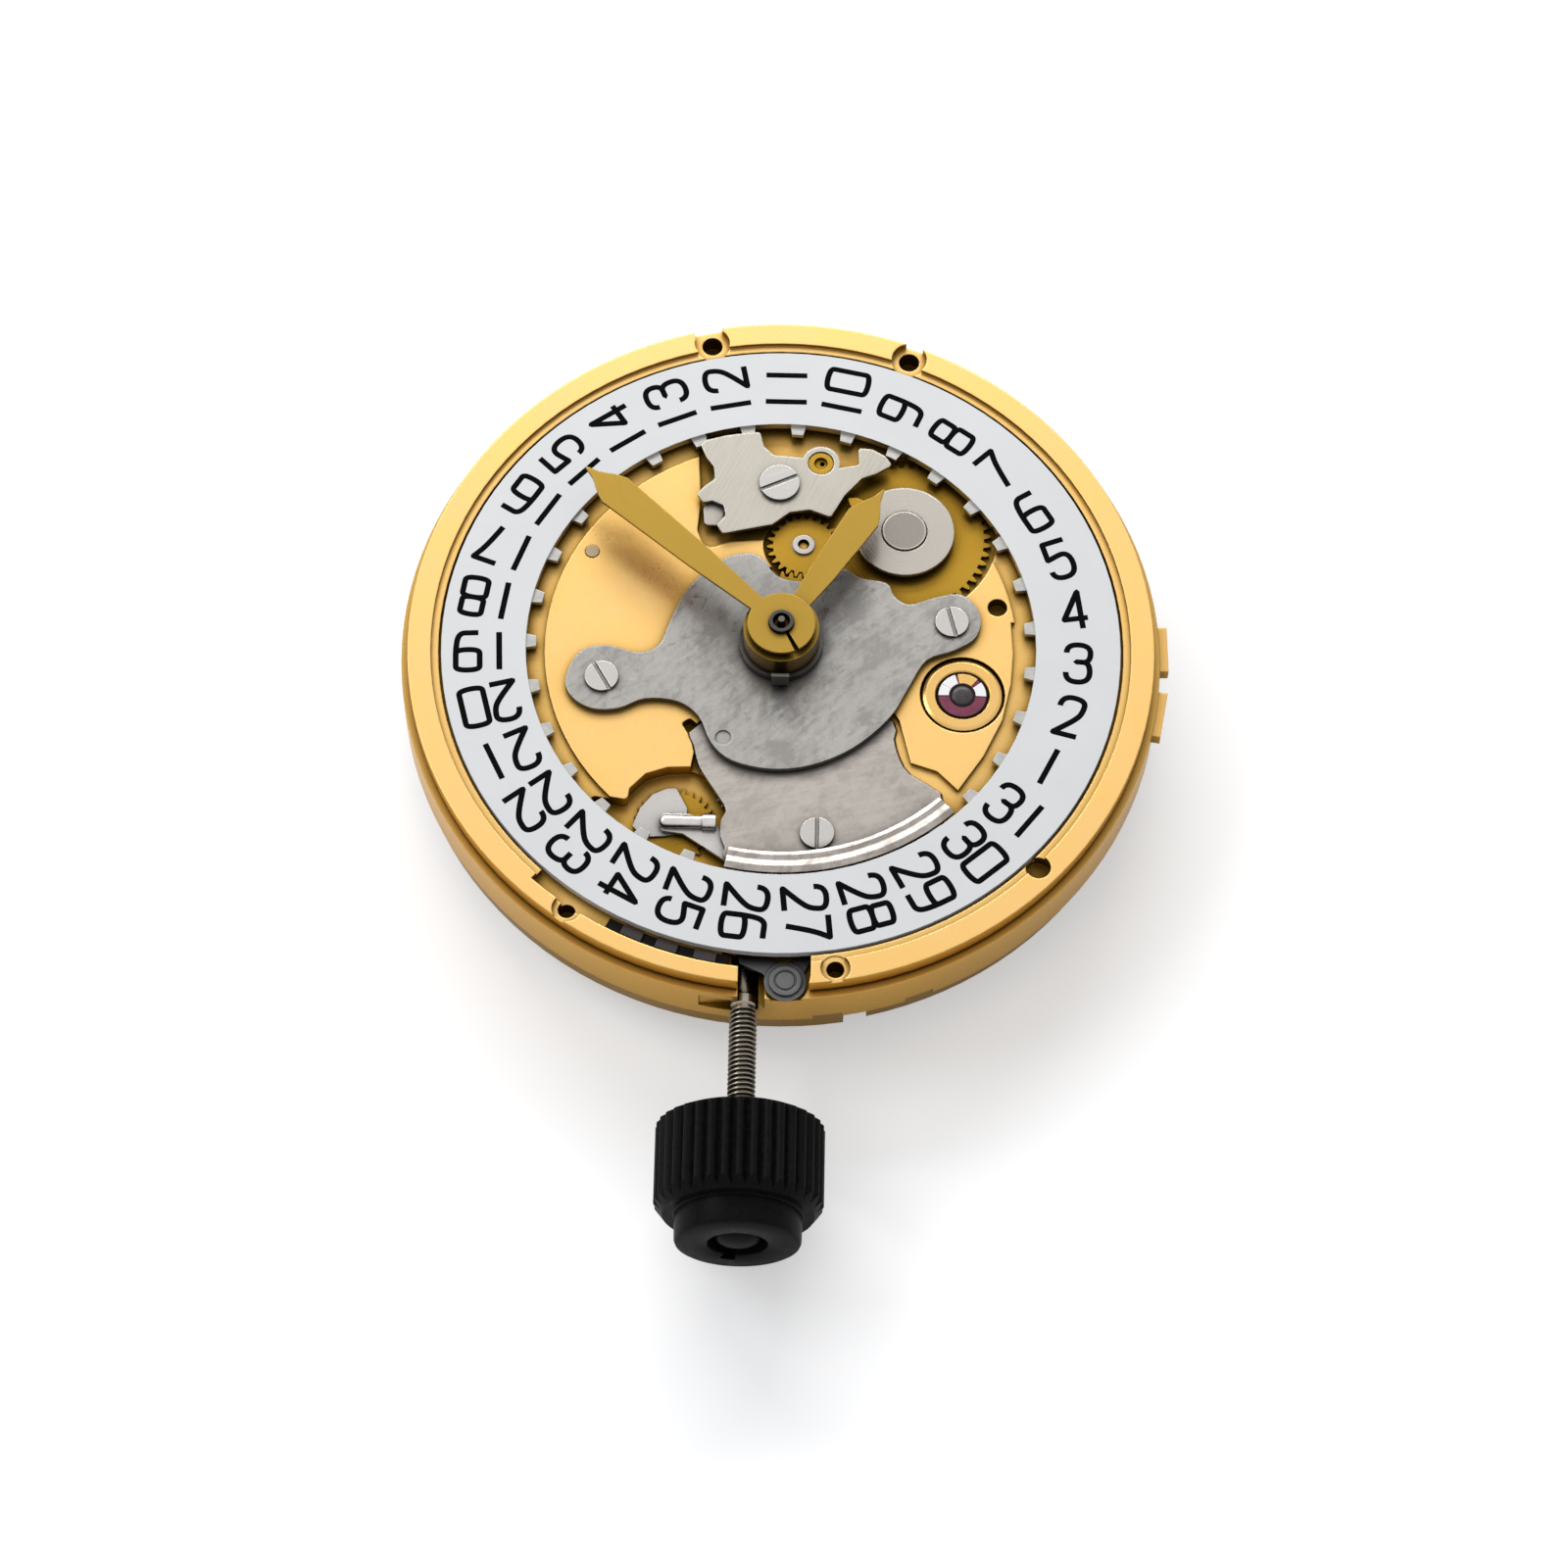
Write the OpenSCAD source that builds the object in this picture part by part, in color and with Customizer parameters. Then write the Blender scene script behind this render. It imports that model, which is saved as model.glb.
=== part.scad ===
// Automatic watch movement with date, lying dial side up.
// The origin is on the hand axis at the dial seat; +Z points to the dial, the stem leaves along -Y.

/* [Case fit] */
// Radius of the rim that fits the case
fit_r = 12.8; // [12.75:0.05:12.95]
// Width of the flange that stands out under the rim
flange_w = 0.25; // [0.2:0.05:0.4]
// Height of the rim above the flange
fit_h = 0.7; // [0.6:0.05:0.8]
// Height of the main plate, dial seat to bridge seat
plate_h = 2.4; // [2.4:0.05:2.5]
// Height of the whole movement, dial seat to rotor
total_h = 4.6; // [4.6:0.05:4.8]

/* [Main plate] */
// Drop from the dial seat to the plate inside the date ring
island_drop = 0.4; // [0.4:0.01:0.44]
// Thickness of the plate inside the date ring
web_t = 0.9; // [0.88:0.01:0.94]
// Width of the dial seat on the rim
seat_w = 1.05; // [0.95:0.01:1.08]
// Thickness of the wall round the train, under the flange's edge
wall_t = 1.15; // [1.05:0.05:1.25]

/* [Date ring] */
// Clearance between the date ring and the dial seat
date_gap = 0.1; // [0.07:0.01:0.15]
// Inner radius of the painted face
date_ri = 8.75; // [8.7:0.01:8.8]
// Thickness of the date ring
date_t = 0.3; // [0.26:0.01:0.3]
// Depth of the painted face below the dial seat
date_top = 0.08; // [0.06:0.01:0.1]
// Length of an inner tooth
date_tooth = 0.35; // [0.3:0.01:0.36]

/* [Motion work] */
// Distance from the hand axis to the minute wheel
minute_reach = 2.375; // [2.35:0.005:2.4]
// Thickness of a dial side wheel
dial_wheel_t = 0.12; // [0.1:0.01:0.12]

/* [Hands] */
// Length of the minute hand
minute_hand_l = 9.1; // [8:0.1:9.6]
// Length of the hour hand
hour_hand_l = 6.5; // [5:0.1:7]
// Thickness of a hand
hand_t = 0.12; // [0.1:0.01:0.15]
// Height of the minute hand over the dial seat
minute_hand_z = 1.34; // [1.3:0.01:1.4]
// Height of the hour hand over the dial seat
hour_hand_z = 0.98; // [0.94:0.01:1.02]

/* [Stem and crown] */
// Sideways offset of the stem from the hand axis
stem_x = -1; // [-1.05:0.05:-0.95]
// Depth of the stem axis below the dial seat
stem_depth = 1.45; // [1.43:0.01:1.47]
// Radius of the stem in the plate and of its thread
stem_r = 0.45; // [0.43:0.01:0.46]
// Travel of the stem between winding and hand setting
stem_travel = 0.6; // [0.5:0.05:0.6]
// Radius of the crown over its flutes
crown_r = 2.8; // [2.5:0.1:2.9]
// Length of the fluted part of the crown
crown_l = 3.2; // [2.8:0.1:3.4]
// Distance from the hand axis to the inner face of the crown
crown_y = 17.3; // [17:0.1:18]
// Number of flutes on the crown
crown_flutes = 36; // [32:1:40]

/* [Going train] */
// Distance from the hand axis to the barrel
barrel_reach = 5.85; // [5.8:0.01:5.9]
// Direction of the barrel from the hand axis
barrel_dir = 150.8; // [148:0.2:153]
// Distance from the hand axis to the third wheel
third_reach = 3.9; // [3.86:0.01:3.94]
// Direction of the third wheel from the hand axis
third_dir = 75; // [72:1:78]
// Distance from the hand axis to the escape wheel
escape_reach = 3.75; // [3.72:0.01:3.78]
// Distance from the escape wheel to the balance
escape_to_balance = 3.95; // [3.9:0.01:4]
// Distance from the escape wheel to the pallet fork
escape_to_pallet = 1.8; // [1.79:0.01:1.82]
// Radius of the escape wheel
escape_r = 1.65; // [1.6:0.01:1.66]
// Thickness of a train wheel
wheel_t = 0.1; // [0.08:0.01:0.1]
// Radius of the balance
balance_r = 3.1; // [2.9:0.05:3.15]

/* [Winding] */
// Thickness of the ratchet wheel and of its neighbours
winding_t = 0.18; // [0.16:0.01:0.18]

/* [Automatic work] */
// Thickness of the bridges
bridge_t = 0.5; // [0.48:0.01:0.52]
// Thickness of the automatic bridge
auto_t = 0.4; // [0.36:0.01:0.42]
// Outer radius of the rotor
rotor_r = 12.6; // [12.4:0.05:12.8]
// Inner radius of the rotor's weight
rotor_in_r = 9.9; // [9.8:0.05:10]
// Half angle of the rotor's weight
rotor_half = 95; // [90:1:100]

/* [Fits] */
// Radial clearance of a running shaft
run = 0.04; // [0.03:0.005:0.05]
// Radial clearance of a pressed or seated part
seat = 0.015; // [0.01:0.005:0.02]
// Clearance between stacked faces that turn past each other
play = 0.05; // [0.04:0.005:0.06]

/* [Hidden] */
$fn = 64;
over = 0.1;

// Radii that follow the rim
flange_r = fit_r + flange_w;
seat_in_r = fit_r - seat_w;
lip_w = 0.26;
lip_h = 0.14;
wall_in_r = flange_r - wall_t;
date_ro = seat_in_r - date_gap;
// Inner ledge under the date ring's teeth, and the raised ground inside it
ledge_r = 8.92;
island_r = 8.12;

// Levels on the dial side, from the dial seat down
z_fit = -fit_h;
z_seat = -plate_h;
z_island = -island_drop;
z_web = z_island - web_t;
z_date = -date_top;
z_date_low = z_date - date_t;
z_date_tooth = z_date - 0.12;
z_ledge = z_date_low - 0.03;
z_step = z_island - 0.15;
z_hour = z_island - 0.06;
z_hour_low = z_hour - dial_wheel_t - play;
z_minute = z_hour_low - dial_wheel_t - play;
z_floor = z_minute - dial_wheel_t - play;
z_maintain = z_island + 0.25;
z_cover = z_island - 0.05;
cover_t = 0.17;
z_lever = z_cover - cover_t - 0.02;
lever_t = 0.16;
z_lever_floor = z_lever - lever_t - 0.03;
z_corrector_floor = z_lever_floor - 0.18;
z_stem = -stem_depth;

// Levels of the train, from the bridge seat up
z_fourth = z_seat + 0.2;
z_third = z_fourth + 0.08 + wheel_t;
z_centre = z_third + 0.06 + wheel_t;
z_barrel_low = z_centre + 0.06;
z_recess = z_floor - 0.1;
z_barrel = z_recess - play;
z_tooth_ring = z_barrel_low + 0.35;
z_escape = z_web - 0.18;
escape_t = 0.12;
z_balance = z_seat - 0.12;
balance_t = 0.24;
z_cock = z_seat - 0.6;
cock_t = 0.38;

// Levels under the bridges
z_bridge = z_seat - bridge_t;
z_rim_low = z_seat - 0.9;
z_wind = z_bridge - 0.04;
z_reduce = z_wind - winding_t - 0.07;
reduce_t = 0.12;
z_reverse = z_reduce - reduce_t - 0.05;
z_auto = z_reverse - reduce_t - 0.04;
z_auto_low = z_auto - auto_t;
z_bottom = -total_h;
z_under = z_bottom - 0.4;
z_rotor = z_bottom + 0.45;
rotor_t = 0.3;

// Points on the dial side
P_SCREW_L = [-6.11, -1.38];
P_SCREW_R = [5.86, 1];
P_SCREW_CAL = [-0.17, 6.29];
P_SCREW_KEY = [1.35, -7.04];
P_INTER = [0.71, 4.09];
P_DRIVE = [4.2, 4.6];
P_ECC = [1.26, 7.17];
P_BUTTON = [0.38, 0.35 - fit_r];
P_YOKE = [-3.48, -6.58];
P_JUMPER = [-2.45, 5.02];
P_PIN = [-6.61, 3.66];
P_HOLE = [7.44, 1.77];

// Points of the train
P_BALANCE = [6.24, -1.65];
P_BARREL = polar(barrel_reach, barrel_dir);
P_THIRD = polar(third_reach, third_dir);
P_ESCAPE = meet([0, 0], escape_reach, P_BALANCE, escape_to_balance, -1);
pallet_dir = heading(P_ESCAPE, P_BALANCE);
P_PALLET = P_ESCAPE + polar(escape_to_pallet, pallet_dir);
pallet_to_balance = escape_to_balance - escape_to_pallet;

// Shafts of the hands, and the posts of the wheels beside them
centre_arbor_r = 0.26;
cannon_r = 0.42;
hour_pipe_r = 0.75;
seconds_r = 0.11;
post_r = 0.16;
wide_post_r = 0.3;

// Jewels, pivots and screws
jewel_r = 0.4;
centre_jewel_r = 0.55;
pivot_end_r = 0.08;
pivot_bore = 0.11;
shock_r = 1.36;
head_r = 0.575;
shank_r = 0.25;
tapped_r = 0.27;
bridge_head_r = 0.7;
bridge_sink_r = 0.82;
bridge_tapped_r = 0.3;

// Motion work: teeth, modules, places and phases
days = 31;
cannon_n = 14;
minute_n = 42;
minute_pinion_n = 12;
hour_low_n = 48;
hour_n = 60;
inter_n = 24;
inter_pinion_n = 10;
date_wheel_n = 50;
cannon_m = 2 * minute_reach / (cannon_n + minute_n);
hour_low_m = 2 * minute_reach / (minute_pinion_n + hour_low_n);
inter_reach = norm(P_INTER);
hour_m = 2 * inter_reach / (hour_n + inter_n);
drive_reach = norm(P_DRIVE - P_INTER);
drive_m = 2 * drive_reach / (inter_pinion_n + date_wheel_n);
minute_dir = -105;
P_MINUTE = polar(minute_reach, minute_dir);
setting_n = 26;
setting_reach = cannon_m * (minute_n + setting_n) / 2;
setting_dir = -97.7;
P_SETTING = P_MINUTE + polar(setting_reach, setting_dir);
minute_turn = mate(0, cannon_n, minute_dir, minute_n);
hour_low_turn = mate(minute_turn, minute_pinion_n, minute_dir + 180, hour_low_n);
inter_turn = mate(0, hour_n, heading([0, 0], P_INTER), inter_n);
drive_turn = mate(inter_turn, inter_pinion_n, heading(P_INTER, P_DRIVE), date_wheel_n);
setting_turn = mate(minute_turn, minute_n, setting_dir, setting_n);

// Going train: teeth, modules and phases
barrel_n = 75;
centre_pinion_n = 10;
centre_n = 64;
third_pinion_n = 8;
third_n = 60;
fourth_pinion_n = 8;
fourth_n = 72;
escape_pinion_n = 6;
escape_n = 20;
barrel_r = 4.85;
core_r = 1.1;
arbor_r = 0.55;
arbor_end_r = 0.4;
arbor_square = 0.7;
barrel_m = 2 * barrel_reach / (barrel_n + centre_pinion_n);
centre_m = 2 * third_reach / (centre_n + third_pinion_n);
third_m = 2 * third_reach / (third_n + fourth_pinion_n);
fourth_m = 2 * escape_reach / (fourth_n + escape_pinion_n);
escape_dir = heading([0, 0], P_ESCAPE);
centre_pinion_turn = mate(0, barrel_n, barrel_dir + 180, centre_pinion_n);
third_pinion_turn = mate(centre_pinion_turn, centre_n, third_dir, third_pinion_n);
fourth_pinion_turn = mate(third_pinion_turn, third_n, third_dir + 180, fourth_pinion_n);
escape_pinion_turn = mate(fourth_pinion_turn, fourth_n, escape_dir, escape_pinion_n);

// Keyless work: places along the stem, all measured from the hand axis
y_groove = P_BUTTON.y + 0.85;
groove_w = 0.5;
groove_r = 0.22;
y_wind_out = -11;
y_wind_in = -9.9;
wind_teeth_w = 0.45;
wind_r = 0.87;
wind_n = 16;
wind_bore = 0.39;
square_w = 0.5;
y_slide_out = y_wind_in + 0.05;
y_slide_in = -7.2;
slide_r = 0.62;
slide_groove_r = 0.42;
slide_groove_w = 0.34;
slide_groove_y = y_slide_in - 0.7;
slide_travel = 0.94 * stem_travel;
yoke_post_r = 0.16;
button_r = 0.3;
button_head_r = 0.71;
y_pivot_hole = y_slide_in + slide_travel + 0.08;
y_pivot_end = -5.6;
pivot_r = 0.22;
y_teeth = y_wind_out + 0.35;
crown_bore_l = 1.6;
crown_bevel = 0.45;

// Winding train, with the pitch radii of its flat wheels
ratchet_r = 3.4;
idler_r = 3.2;
crown_wheel_r = 2.6;
crown_low_n = 44;
crown_low_r = 2.2;
P_CROWN = [stem_x, y_teeth + crown_low_r];
P_IDLER = meet(P_CROWN, crown_wheel_r + idler_r, P_BARREL, idler_r + ratchet_r, 1);
winding_m = 0.2;
crown_up_n = round(2 * crown_wheel_r / winding_m);
idler_n = round(2 * idler_r / winding_m);
ratchet_n = round(2 * ratchet_r / winding_m);
idler_turn = mate(0, crown_up_n, heading(P_CROWN, P_IDLER), idler_n);
ratchet_turn = mate(idler_turn, idler_n, heading(P_IDLER, P_BARREL), ratchet_n);
z_crown_low = z_stem - wind_r + 0.19;
crown_hub_r = 0.6;
idler_stud_r = 0.62;

// Automatic train
rotor_hub_r = 0.78;
race_r = 1.37;
rotor_pinion_r = 1.55;
reverse_r = rotor_pinion_r;
reverse_n = 24;
reverse_m = 2 * reverse_r / reverse_n;
reduce_pinion_r = 0.5;
output_r = 0.5;
reduce_r = 2.4;
P_REDUCE = P_BARREL + polar(ratchet_r + reduce_pinion_r, 42);
P_REV_A = meet([0, 0], rotor_pinion_r + reverse_r, P_REDUCE, output_r + reduce_r, -1);
P_REV_B = meet(P_REDUCE, output_r + reduce_r, P_REV_A, 2 * reverse_r, 1);
output_n = 10;
output_m = 0.066;
reduce_n = 48;
reduce_m = 2 * reduce_r / reduce_n;
reduce_pinion_n = 5;
rev_a_turn = mate(0, reverse_n, heading([0, 0], P_REV_A), reverse_n);
rev_b_turn = mate(rev_a_turn, reverse_n, heading(P_REV_A, P_REV_B), reverse_n);
reduce_pinion_turn = mate(ratchet_turn, ratchet_n, heading(P_BARREL, P_REDUCE), reduce_pinion_n);
AUTO_FEET = [[4.2, 6.6], [-3.3, 8.4], [0.2, -3.3]];

// Geometry functions
function polar(r, a) = [r * cos(a), r * sin(a)];
function heading(a, b) = atan2(b.y - a.y, b.x - a.x);
function unit(v) = v / norm(v);
// Point at given distances from a and b, on the left (side 1) or right (side -1) of the way a to b
function meet(a, ra, b, rb, side) =
    let (d = norm(b - a), u = (b - a) / d, along = (ra * ra - rb * rb + d * d) / (2 * d))
    a + u * along + side * sqrt(ra * ra - along * along) * [-u.y, u.x];
// Turn of a wheel with n2 teeth that meshes with a wheel of n1 teeth turned by turn1, in direction dir
function mate(turn1, n1, dir, n2) = dir + 180 + (dir - turn1) * n1 / n2 - 180 / n2;
// Outline of a toothed wheel, six points a tooth
function teeth(n, m, tall = 0.9, deep = 1.25) =
    let (rp = n * m / 2, p = 360 / n)
    [for (i = [0:n - 1]) each [
        polar(rp - deep * m, (i - 0.3) * p),
        polar(rp, (i - 0.21) * p),
        polar(rp + tall * m, (i - 0.07) * p),
        polar(rp + tall * m, (i + 0.07) * p),
        polar(rp, (i + 0.21) * p),
        polar(rp - deep * m, (i + 0.3) * p)]];
// Outline of a toothed wheel with four points a tooth, for the small inner teeth
function plain_teeth(n, m, tall = 0.85, deep = 1.25) =
    let (rp = n * m / 2, p = 360 / n)
    [for (i = [0:n - 1]) each [
        polar(rp - deep * m, (i - 0.26) * p),
        polar(rp + tall * m, (i - 0.12) * p),
        polar(rp + tall * m, (i + 0.12) * p),
        polar(rp - deep * m, (i + 0.26) * p)]];
function arc(c, r, a0, a1, n = 12) = [for (i = [0:n]) c + polar(r, a0 + (a1 - a0) * i / n)];
// Closed smooth curve through the given points
function smooth_closed(p, steps = 4) =
    let (n = len(p))
    [for (i = [0:n - 1], k = [0:steps - 1])
        let (t = k / steps, a = p[(i + n - 1) % n], b = p[i], c = p[(i + 1) % n], d = p[(i + 2) % n])
        0.5 * (2 * b + (c - a) * t + (2 * a - 5 * b + 4 * c - d) * t * t
            + (3 * b - a - 3 * c + d) * t * t * t)];
// Closed outline with every corner rounded by radius r
function rounded(p, r, steps = 3) =
    let (n = len(p))
    [for (i = [0:n - 1]) each corner(p[(i + n - 1) % n], p[i], p[(i + 1) % n], r, steps)];
function corner(a, p, b, r, steps) =
    let (u = unit(a - p), v = unit(b - p), half = acos(max(-1, min(1, u * v))) / 2,
        t = min(r / tan(half), 0.45 * norm(a - p), 0.45 * norm(b - p)), rr = t * tan(half),
        c = p + unit(u + v) * rr / sin(half), s = p + u * t - c, e = p + v * t - c,
        a0 = atan2(s.y, s.x), turn = atan2(s.x * e.y - s.y * e.x, s * e))
    [for (i = [0:steps]) c + polar(rr, a0 + turn * i / steps)];

// Building blocks
module at(p) {
    translate([p.x, p.y, 0]) children();
}
module disc(r, z_high, z_low) {
    translate([0, 0, z_low]) cylinder(r = r, h = z_high - z_low);
}
module tube(ro, ri, z_high, z_low) {
    difference() {
        disc(ro, z_high, z_low);
        disc(ri, z_high + over, z_low - over);
    }
}
module slab(z_high, z_low) {
    translate([0, 0, z_low]) linear_extrude(height = z_high - z_low) children();
}
module toothed(n, m, z_high, z_low, turn = 0) {
    slab(z_high, z_low) rotate(turn) polygon(teeth(n, m));
}
module toothed_plain(n, m, z_high, z_low, turn = 0) {
    slab(z_high, z_low) rotate(turn) polygon(plain_teeth(n, m));
}
// Openings that leave arms between a hub and a rim
module crossings(ri, ro, arms, arm_w, z_high, z_low) {
    for (i = [0:arms - 1]) rotate(i * 360 / arms)
        slab(z_high + over, z_low - over)
            polygon(concat(
                arc([0, 0], ro, asin(arm_w / 2 / ro), 360 / arms - asin(arm_w / 2 / ro)),
                arc([0, 0], ri, 360 / arms - asin(arm_w / 2 / ri), asin(arm_w / 2 / ri))));
}
// Screw with a slotted head whose underside is at z, head upwards (up = 1) or downwards (up = -1)
module screw(head_r, head_t, shank_r, shank_l, z, up = 1, slot = 0) {
    translate([0, 0, z]) rotate([up > 0 ? 0 : 180, 0, 0]) {
        difference() {
            cylinder(r = head_r, h = head_t);
            rotate(slot) translate([-head_r - over, -0.07, head_t - 0.06])
                cube([2 * head_r + 2 * over, 0.14, 0.2]);
        }
        translate([0, 0, -shank_l]) cylinder(r = shank_r, h = shank_l + 0.02);
    }
}
// Turns a solid from the Z axis onto the stem axis, z = 0 at y = 0 and upwards along +Y
module on_stem() {
    translate([stem_x, 0, z_stem]) rotate([-90, 0, 0]) children();
}
module wedge_2d(r, a0, a1) {
    polygon(concat([[0, 0]], arc([0, 0], r, a0, a1)));
}

// Outlines that two pieces share
MAINTAINING = [[-7.34, -1.46], [-6.9, -0.42], [-6, -0.15], [-4.9, -0.4], [-4.2, -0.1],
    [-3.8, 0.92], [-3.24, 2.17], [-2.2, 3.25], [-1.2, 3.58], [-0.6, 3.3], [-0.42, 2.95],
    [-0.05, 2.62], [0.7, 2.5], [1.5, 2.72], [2.1, 3.02], [2.7, 2.68], [3.6, 2.5], [3.87, 2],
    [4.4, 1.68], [5.3, 1.98], [6.2, 2.1], [6.82, 1.4], [6.7, 0.5], [5.95, -0.05], [5, -0.46],
    [4.4, -1.5], [3.75, -2.7], [2.5, -3.9], [1.08, -4.58], [-0.3, -4.75], [-1.6, -4.45],
    [-2.3, -3.8], [-2.75, -2.8], [-3.5, -2.24], [-4.6, -2.16], [-5.5, -2.55], [-6.4, -2.58],
    [-7.1, -2.15]];
CALENDAR = [[-2.95, 7.8], [-2.83, 7.98], [-2.1, 8.2], [-1.21, 8.35], [-0.89, 8.36],
    [-0.75, 7.8], [-0.4, 7.45], [0.62, 7.36], [1.75, 6.95], [2.6, 7.12], [2.56, 7.8],
    [3.05, 7.76], [3.5, 7.5], [3.74, 7.15], [3.2, 6.8], [2.7, 6.6], [2.1, 5.9], [1.63, 5.02],
    [0.9, 5.3], [0.2, 5.18], [-0.4, 4.68], [-1.6, 4.4], [-2.1, 4.28], [-2.32, 4.62],
    [-2.02, 5], [-2.1, 5.4], [-2.5, 5.58], [-2.8, 5.5], [-3.04, 5.84], [-2.78, 6.15],
    [-2.42, 6.45], [-2.48, 6.95], [-2.74, 7.3]];
COVER = [[-2.83, -3.08], [-3.05, -3.38], [-2.9, -3.75], [-2.75, -4.38], [-2.52, -4.87],
    [-1.8, -6], [-1.78, -6.35], [-1.9, -6.6], [-1.9, -7.2], [-1.74, -7.6], [-1.74, -7.98],
    [-0.58, -8.02], [0.75, -8.02], [2.07, -7.8], [3.75, -7.2], [4.76, -6.6], [5.4, -6.05],
    [5.5, -5.4], [4.47, -4.73], [4.09, -4.12], [3.9, -3.39], [3.85, -2.7], [2, -1.9], [-1, -1.6]];
CORRECTOR_POCKET = [[-6.4, -5.7], [-5.08, -5.9], [-5.04, -5.48], [-4.5, -4.9], [-3.75, -4.64],
    [-2.89, -4.6], [-2.3, -4.9], [-1.6, -6.2], [-1.6, -8.4], [-3, -9], [-6, -7.2]];

module main_plate() {
    color("goldenrod") difference() {
        union() {
            disc(fit_r, 0, z_fit - 0.01);
            disc(flange_r, z_fit, z_seat);
            // Case clamp lugs on the flange
            for (a = [1.5, -9.5]) rotate(a)
                translate([flange_r - 1, -0.75, z_fit - 0.55]) cube([1.28, 1.7, 0.5]);
        }
        plate_dial_recess();
        plate_rim_details();
        difference() {
            disc(wall_in_r, z_web, z_seat - over);
            stem_block();
            plate_pillars();
        }
        at(P_BARREL) disc(barrel_m * (barrel_n / 2 + 0.9) + 0.12, z_recess, z_seat - over);
        plate_pockets();
        plate_keyless_cuts();
        plate_holes();
    }
    // Pads and posts that carry the dial side parts
    color("goldenrod") {
        at(P_SCREW_CAL) tube(1.05, tapped_r, z_date - 0.1, z_step - 0.2);
        at(P_INTER) disc(post_r, z_island - 0.1, z_hour_low - dial_wheel_t - 0.2);
        at(P_DRIVE) disc(wide_post_r, z_island - 0.1, z_hour_low - dial_wheel_t - 0.2);
        at(P_MINUTE) disc(post_r, z_hour_low, z_floor - 0.02);
        at(P_SETTING) disc(wide_post_r, z_minute, z_floor - 0.02);
    }
}
// Recess of the date ring, its ledge and the step round the inner plate
module plate_dial_recess() {
    difference() {
        disc(seat_in_r, over, z_ledge);
        disc(island_r, z_island, z_ledge - over);
    }
    disc(island_r + 0.08, over, z_island);
    tube(ledge_r, island_r, z_ledge + over, z_step);
    // Lower ground beside the jewel's shield
    slab(z_ledge + over, z_step) intersection() {
        circle(r = island_r + 0.28);
        polygon([[3.6, -1.9], [3.6, -6], [6.8, -8], [10, -3], [10, 1.2], [7.9, 1.2],
            [7.98, 0], [7.9, -1.2], [7.6, -2.6], [6.95, -4], [6.1, -5.3], [5.4, -4.6],
            [4.5, -4.3], [4.1, -2.7]]);
    }
    // Relief along the inner edge of the seat towards the stem
    slab(over, z_ledge) difference() {
        wedge_2d(seat_in_r + 0.5, 228, 268);
        circle(r = seat_in_r - 0.15);
    }
}
// Distances from the rim inwards are along the radius at the given direction
module plate_rim_details() {
    // Groove under the rim, and the lip round the date ring
    tube(fit_r + over, fit_r - 0.08, z_fit + 0.1, z_fit);
    tube(seat_in_r + lip_w, seat_in_r - over, over, -lip_h);
    // Dial foot holes, one with a notch beside it, and case screw holes
    for (a = [102.5, 69.4]) at(polar(fit_r - 0.54, a)) {
        disc(0.62, over, -0.26);
        disc(0.36, over, -1);
    }
    rotate(102.5) translate([fit_r - 0.75, -0.45, -0.26]) cube([1, 1, 1]);
    for (a = [235.6, 279.5]) at(polar(fit_r - 0.46, a)) {
        disc(0.5, over, -0.18);
        disc(0.3, over, -1);
    }
    at(polar(fit_r - 0.7, 316.6)) disc(0.42, over, -0.6);
    // Notches in the lower wall
    for (a = [-82, -68]) rotate(a) translate([fit_r, -0.5, z_seat - over]) cube([1, 1, 0.35]);
}
// Pockets of the motion work, the date train and the calendar plate
module plate_pockets() {
    disc(hour_n * hour_m / 2 + 0.25, z_island + over, z_hour - dial_wheel_t - 0.03);
    disc(hour_low_n * hour_low_m / 2 + 0.2, z_island + over, z_hour_low - dial_wheel_t - 0.04);
    disc(cannon_n * cannon_m / 2 + 0.2, z_island, z_floor);
    at(P_MINUTE) disc(minute_n * cannon_m / 2 + 0.18, z_island + over, z_floor);
    at(P_SETTING) disc(setting_n * cannon_m / 2 + 0.18, z_island + over, z_floor);
    at(P_INTER) disc(inter_n * hour_m / 2 + 0.22, z_island + over, z_hour_low - dial_wheel_t - 0.05);
    at(P_DRIVE) disc(date_wheel_n * drive_m / 2 + 0.3, z_island + over,
        z_hour_low - dial_wheel_t - 0.05);
    slab(z_island + over, z_step - 0.1) intersection() {
        circle(r = ledge_r);
        polygon(rounded([[-2.9, 5.7], [-3.1, 9.2], [3, 9.5], [4.6, 7.8], [3.4, 6], [1, 4.6],
            [-0.6, 4.25], [-1.9, 4.15], [-2.7, 3.8], [-3, 4.6]], 0.35));
    }
    // Slits and small marks in the open ground of the plate
    at([-4.6, 5.2]) rotate(-41) slab(z_island + over, z_island - 0.25)
        polygon(rounded([[-0.45, -0.16], [0.45, -0.16], [0.45, 0.16], [-0.45, 0.16]], 0.15));
    slab(z_island + over, z_lever_floor) polygon(rounded([[-3.35, -2.95], [-3.05, -2.75],
        [-2.3, -3.4], [-2.5, -4.7], [-3, -4.7], [-2.85, -3.8]], 0.12));
}
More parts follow.
